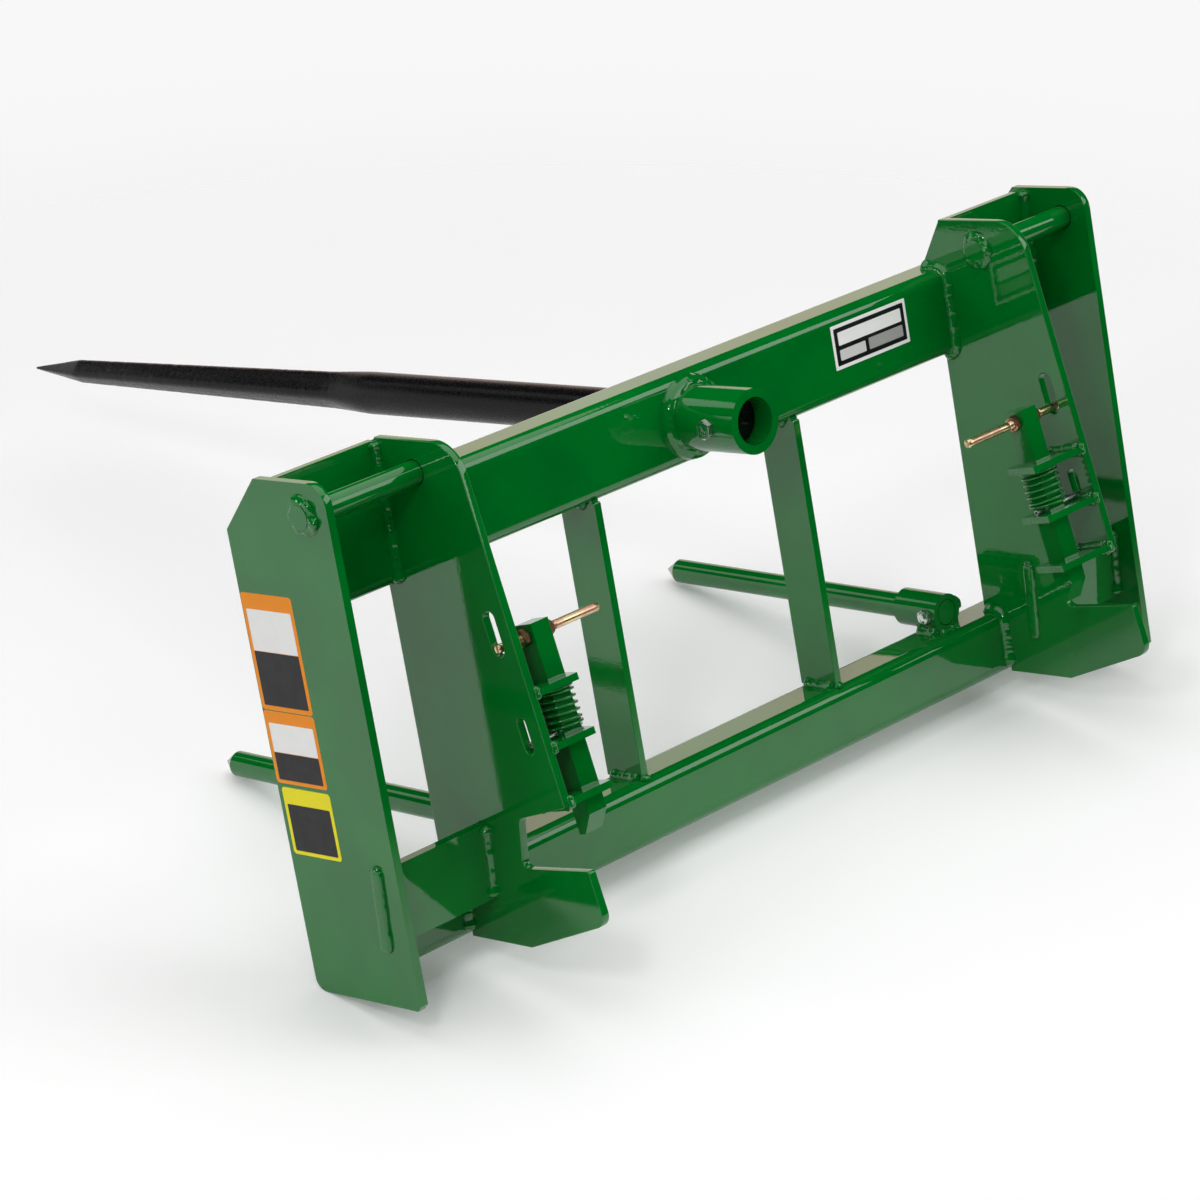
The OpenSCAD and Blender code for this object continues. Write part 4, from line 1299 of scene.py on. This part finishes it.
@dataclass
class Latch:
    """One sprung latch: handle rod with its nuts, coil spring and the welds of its guides.

    In the latch frame s runs up along the bar and y points forward, both turned by the tilt.
    """

    name: str
    side: int
    bar_x: float
    reach: float
    bar_w: float = 24.0
    rod_d: float = 9.5
    rod_end: float = 437.0
    rod_pitch: float = 1.6
    nut_af: float = 16.0
    nut_t: float = 8.5
    guide_top: float = 48.5
    guide_pitch: float = 57.0
    guide_t: float = 7.5
    guide_depth: float = 51.0
    coil_d: float = 40.0
    wire_d: float = 2.8
    turns: float = 7.25
    spring_low: float = -98.5
    spring_high: float = -56.3

    def at(self, local: np.ndarray) -> np.ndarray:
        """Turns latch frame points (|x|, y, s) into bench points."""
        local = np.asarray(local, float)
        across, section = self.side * local[..., :1], LATCH.at(local[..., 1], local[..., 2])
        return np.concatenate([across, section], -1)

    def handle(self) -> None:
        """Makes the handle rod, threaded beside both nuts, and the two chamfered nuts."""
        inner = self.bar_x - self.bar_w / 2 - self.nut_t
        outer = self.bar_x + self.bar_w / 2
        start = self.bar_x - self.bar_w / 2 - self.reach
        cut = [(inner - 7, inner + self.nut_t), (outer, outer + self.nut_t + 6)]
        rod = thread(self.rod_d, start, self.rod_end, cut, self.rod_pitch)[..., [2, 0, 1]]
        piece = skin(f"{self.name}_handle_rod", bench(self.at(rod)), sharp_deg=50)
        dress(piece, Paint.YELLOW.material, f"{self.name}_latch")
        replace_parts(piece, f"{self.name}_handle")
        for word, x in (("inner", inner), ("outer", outer)):
            nut = hexagon(self.nut_af, self.nut_t, self.rod_d + 0.4) + (0, 0, x)
            grid = bench(self.at(nut[..., [2, 0, 1]]))
            piece = skin(f"{self.name}_{word}_hex_nut", grid, ring=True, sharp_deg=30)
            dress(piece, Paint.BRONZED.material, f"{self.name}_latch")
            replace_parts(piece, f"{self.name}_{word}_nut")

    def spring(self) -> None:
        """Winds the coil spring: the wire's centre turns on a circle and climbs evenly, slower in
        the first and last turn, and a small circle is carried along it."""
        t = np.linspace(0, self.turns, int(self.turns * 56))
        climb = self.spring_high - self.spring_low - self.wire_d
        rise = 0.86 * np.clip((t - 1) / (self.turns - 2), 0, 1) + 0.14 * t / self.turns
        up = self.spring_low + self.wire_d / 2 + climb * rise
        a, b = TURN * t[:, None], np.linspace(0, TURN, 14, endpoint=False)
        r = self.coil_d / 2 + self.wire_d / 2 * np.cos(b)
        local = np.stack([
            self.bar_x + r * np.cos(a), r * np.sin(a), up[:, None] + self.wire_d / 2 * np.sin(b)
        ], -1)
        piece = skin(f"{self.name}_coil_spring", bench(self.at(local)), sharp_deg=60)
        piece.data.materials.append(Paint.BEAD.material)
        ends = self.spring_high, self.spring_low
        high, low = (bench(self.at((self.bar_x, 0, s))) for s in ends)
        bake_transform(piece)
        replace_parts(piece, f"{self.name}_spring")
        LOG.info("%s bends between carrier and latch", piece.name)

    def welds(self) -> None:
        """Lays a bead over and under each guide on the plate and a lump at its rear corner."""
        runs, away = Welder(f"{self.name}_guide_welds"), np.array([-self.side, 0, 0])
        rear, front = -self.guide_depth / 2, self.guide_depth / 2
        for number in range(3):
            top = -self.guide_top - number * self.guide_pitch
            low = top - self.guide_t
            for s, up, stroke in ((top, LATCH.up, GUIDE_OVER), (low, -LATCH.up, GUIDE_UNDER)):
                ends = self.at([(INNER_IN, rear + 3, s), (INNER_IN, front - 2, s)])
                runs.run(*ends, up, away, stroke)
            lump = self.at([(INNER_IN - 1, rear + 0.4, s) for s in (top + 4, low - 3)])
            runs.run(*lump, away, -LATCH.forward, GUIDE_LUMP)
        runs.finish()

    def build(self) -> None:
        """Makes the latch's own pieces."""
        self.handle()
        self.spring()
        self.welds()


@dataclass(frozen=True)
class Panel:
    """Plain panel on a film: its lower corner and size, its colour and how many films lie under."""

    low: tuple[float, float]
    size: tuple[float, float]
    colour: str
    level: int = 1
    radius: float = 1.2


@dataclass
class BlankField:
    """A blank stuck-on film: a rounded sheet with plain panels of colour, and nothing on it.

    u runs across and v up on a flat whose outward way is normal.
    """

    name: str
    corner: tuple[float, float, float]
    base: Panel
    panels: list[Panel]
    u: tuple[float, float, float] = (0, -1, 0)
    v: tuple[float, float, float] = (0, 0, 1)
    normal: tuple[float, float, float] = (-1, 0, 0)
    thick: float = 0.15

    def sheet(self, name: str, panel: Panel) -> None:
        """Makes one rounded film: its outline is carried from the plate to its face in two rows."""
        quarter, r = np.linspace(0, np.pi / 2, 7), panel.radius
        wide, high = panel.size[0] - r, panel.size[1] - r
        arcs = []
        for k, (cx, cy) in enumerate(((wide, high), (r, high), (r, r), (wide, r))):
            turn = quarter + k * np.pi / 2
            arcs.append(np.stack([cx + r * np.cos(turn), cy + r * np.sin(turn)], -1))
        edge, u, v = np.concatenate(arcs) + panel.low, np.array(self.u), np.array(self.v)
        flat = np.array(self.corner) + edge[:, :1] * u + edge[:, 1:] * v
        lift = np.array(self.normal, float) * self.thick
        grid = np.stack([flat + lift * (panel.level - 0.2), flat + lift * (panel.level + 1)])
        piece = skin(name, bench(grid), sharp_deg=30)
        dress(piece, PrintedVinyl(f"{name}_film", panel.colour).build())

    def build(self) -> None:
        """Makes the base film and its panels."""
        self.sheet(self.name, self.base)
        for k, panel in enumerate(self.panels):
            self.sheet(f"{self.name}_panel_{k + 1}", panel)


WHITE, BLACK, ORANGE, YELLOW = "#f6f6f4", "#1b1b1e", "#f79200", "#f4e800"
FIELDS = (
    BlankField(
        "plate_field_upper", (-OUTER_FACE, -1.0, 304.5), Panel((0, 0), (78, 123.5), ORANGE, 0, 4.0),
        [Panel((5, 62.5), (68, 44), WHITE), Panel((5, 5), (68, 57), BLACK)],
    ),
    BlankField(
        "plate_field_middle", (-OUTER_FACE, -1.0, 226), Panel((0, 0), (78, 77.5), ORANGE, 0, 4.0),
        [Panel((5, 33.5), (68, 31), WHITE), Panel((5, 4), (68, 29), BLACK)],
    ),
    BlankField(
        "plate_field_lower", (-OUTER_FACE, -6.0, 150), Panel((0, 0), (74, 72), YELLOW, 0, 4.0),
        [Panel((4.5, 4), (65, 50), BLACK)],
    ),
    BlankField(
        "tube_field", (229, UPPER_REAR, 428.5), Panel((0, 0), (123, 50), "#f6f6f6", 0, 1.0),
        [
            Panel((4, 4), (115, 42), "#101012"), Panel((9.5, 26), (104, 15), WHITE, 2),
            Panel((9.5, 9), (42, 12), "#d8d8d6", 2), Panel((57, 9), (56.5, 13), "#a6a6a4", 2),
        ],
        u=(1, 0, 0), normal=(0, -1, 0),
    ),
)


@dataclass(frozen=True)
class Lamp:
    """Rectangular soft lamp: place and aim as on_ground takes them, width and height, watts."""

    name: str
    at: tuple[float, float, float]
    aim: tuple[float, float, float]
    size: tuple[float, float]
    power: float


@dataclass
class Studio:
    """Pale floor under the leaning frame, dark flags, soft lamps, world and the photo's camera.

    Places on the stage are x to the right, y along the spears and up over the floor, in metres.
    The camera is the one solved from the photograph's straight edges.
    """

    place: tuple[float, float, float] = (-3.2026, -3.3208, 1.0460)
    right: tuple[float, float, float] = (0.70175, -0.69267, -0.16661)
    down: tuple[float, float, float] = (-0.30599, -0.08186, -0.94851)
    forward: tuple[float, float, float] = (0.64336, 0.71660, -0.26939)
    lens: float = 134.507
    ground: tuple[float, float, float] = (0.0, 0.1138, -0.515)
    ground_lean: float = math.radians(15.6)
    reach: float = 6.0
    ambient: float = 0.30
    backdrop: str = "#f8f8f8"
    near: float = -4.2
    far: float = 5.0
    wide: float = 5.5
    roof: float = 4.2
    lamps: tuple[Lamp, ...] = (
        Lamp("overhead_softbox", (-0.1, 0.35, 2.9), (-0.1, 0.35, 0.0), (4.2, 3.2), 54.0),
        Lamp("right_lamp", (2.4, -2.7, 2.9), (0.0, 0.0, 0.2), (3.2, 2.0), 50.0),
        Lamp("left_lamp", (-2.6, -1.2, 2.6), (0.0, 0.0, 0.2), (0.5, 0.5), 21.0),
        Lamp("low_fill", (-3.0, 1.2, 1.2), (0.0, 0.0, 0.2), (0.7, 0.7), 9.0),
    )
    strip: Lamp = Lamp("front_strip", (-1.2, 4.4, 2.6), (0.0, 0.0, 0.5), (1.6, 0.8), 4.5)

    def camera(self) -> None:
        """Sets the camera: its axes are made square by the nearest rotation."""
        data = bpy.data.cameras.new("photo_camera")
        data.lens, data.sensor_width, data.clip_end = self.lens, 36.0, 200.0
        camera = bpy.data.objects.new("photo_camera", data)
        axes = np.array([self.right, np.negative(self.down), np.negative(self.forward)]).T
        left, _, right = np.linalg.svd(axes)
        matrix = Matrix((left @ right).tolist()).to_4x4()
        matrix.translation = self.place
        camera.matrix_world = matrix
        bpy.context.scene.collection.objects.link(camera)
        bpy.context.scene.camera = camera

    def on_ground(self, x: float, y: float, up: float) -> np.ndarray:
        """Turns a place on the stage into the row's frame."""
        c, s = math.cos(self.ground_lean), math.sin(self.ground_lean)
        return np.array(self.ground) + (x, y * c - up * s, y * s + up * c)

    def sheet(
        self, name: str, corners: ArrayLike, material: Material, seen: bool = True
    ) -> None:
        """Makes a flat stage sheet.

        Args:
            name: Name.
            corners: Four places on the stage in order, anticlockwise from its face.
            material: Finish.
            seen: False keeps it for mirror reflections alone.
        """
        mesh = bpy.data.meshes.new(name)
        places = [tuple(self.on_ground(*corner)) for corner in corners]
        mesh.from_pydata(places, [], [(0, 1, 2, 3)])
        mesh.materials.append(material)
        piece = bpy.data.objects.new(name, mesh)
        bpy.context.scene.collection.objects.link(piece)
        if not seen:
            piece.visible_camera = piece.visible_diffuse = piece.visible_shadow = False

    def wall(
        self, name: str, a: tuple, b: tuple, low: float, high: float, material: Material
    ) -> None:
        """Makes an upright sheet for mirror reflections alone, from stage (x, y) place a to b."""
        self.sheet(name, ((*a, low), (*b, low), (*b, high), (*a, high)), material, seen=False)

    def flags(self) -> None:
        """Hangs the dark flags round the stage and over it."""
        cloth = BlackCloth("black_flag_cloth").build()
        near, far, wide, roof, beyond = self.near, self.far, self.wide, self.roof, 9
        self.wall("rear_flag", (-beyond, near), (beyond, near), -1, 7, cloth)
        corners = ((-beyond, near), (beyond, near), (beyond, far), (-beyond, far))
        self.sheet("roof_flag", [(x, y, roof) for x, y in corners], cloth, seen=False)
        self.wall("left_flag", (-wide, near), (-wide, far), 1.3, roof, cloth)
        self.wall("front_flag", (-wide, far), (wide, far), 1.3, roof, cloth)
        self.wall("right_flag", (wide, far), (wide, near), 1.3, roof, cloth)

    def hang(self, lamp: Lamp) -> None:
        """Hangs a lamp: its width lies level, or square to the spears if it hangs overhead."""
        data = bpy.data.lights.new(lamp.name, "AREA")
        data.shape, (data.size, data.size_y), data.energy = "RECTANGLE", lamp.size, lamp.power
        light = bpy.data.objects.new(lamp.name, data)
        place, target = self.on_ground(*lamp.at), self.on_ground(*lamp.aim)
        back = (place - target) / np.linalg.norm(place - target)
        up, ahead = self.on_ground(0, 0, 1) - self.on_ground(0, 0, 0), (0.0, 1.0, 0.0)
        side = np.cross(ahead if back @ up > 0.9 else up, back)
        side /= np.linalg.norm(side)
        matrix = Matrix(np.array([side, np.cross(back, side), back]).T.tolist()).to_4x4()
        matrix.translation = place.tolist()
        light.matrix_world = matrix
        light.visible_camera = False
        bpy.context.scene.collection.objects.link(light)

    def world(self) -> None:
        """Lights the world evenly, and shows a pale backdrop to the camera and in reflections."""
        world = bpy.data.worlds.new("studio")
        bpy.context.scene.world = world
        world.use_nodes = True
        tree = world.node_tree
        tree.nodes.clear()
        soft, pale = (
            add_node(tree, "ShaderNodeBackground", {"Color": linear(colour), "Strength": strength})
            for colour, strength in (("#ffffff", self.ambient), (self.backdrop, 1.0))
        )
        shares = {0: seen_directly(tree), 1: soft.outputs[0], 2: pale.outputs[0]}
        mix = add_node(tree, "ShaderNodeMixShader", shares)
        add_node(tree, "ShaderNodeOutputWorld", {0: mix.outputs[0]})

    def build(self) -> None:
        """Sets up the whole stage."""
        floor = PaleFloor("pale_floor_paper").build()
        corners = ((-1, -1), (1, -1), (1, 1), (-1, 1))
        self.sheet("floor", [(x * self.reach, y * self.reach, 0) for x, y in corners], floor)
        self.flags()
        for lamp in self.lamps:
            self.hang(lamp)
        board = WarmBoard("warm_board").build()
        self.wall("warm_board", (5.4, 1.5), (1.0, 4.9), -0.3, 1.35, board)
        self.hang(self.strip)
        self.world()
        self.camera()
        bpy.context.scene.view_settings.view_transform = "Standard"


def dress_nodes() -> None:
    """Gives every CAD node that shows the finish of its record slot, or one by its name."""
    finishes = {
        "green_paint": Paint.ENAMEL, "painted_spring": Paint.BEAD, "painted_fastener": Paint.NUT,
        "black_forged_steel": Paint.FORGED, "yellow_zinc": Paint.YELLOW, "zinc": Paint.ZINC,
        "pin_steel": Paint.PIN,
    }
    special = {"guide": Paint.CUT, "upright_bar": Paint.PEELED}
    slots = {part["node"]: part["material_slot"] for part in frame["record"]["subparts"]}
    for name, node in frame["nodes"].items():
        own = (special[word] for word in special if name.endswith(word))
        node.data.materials.clear()
        node.data.materials.append(next(own, finishes[slots[name]]).material)


def main() -> None:
    """Builds the pieces in order, from the stage to the films."""
    logging.basicConfig(level=logging.INFO, format="%(name)s: %(message)s")
    Studio().build()
    dress_nodes()
    for name, side in SIDES.items():
        Carrier(name, side).build()
    Uprights().build()
    SpearMount().build()
    for name, side in SIDES.items():
        Stabiliser(name, side).build()
    Latch("left", -1, bar_x=384.0, reach=76.0).build()
    Latch("right", 1, bar_x=375.0, reach=84.0).build()
    for blank in FIELDS:
        blank.build()


if __name__ == "__main__":
    main()
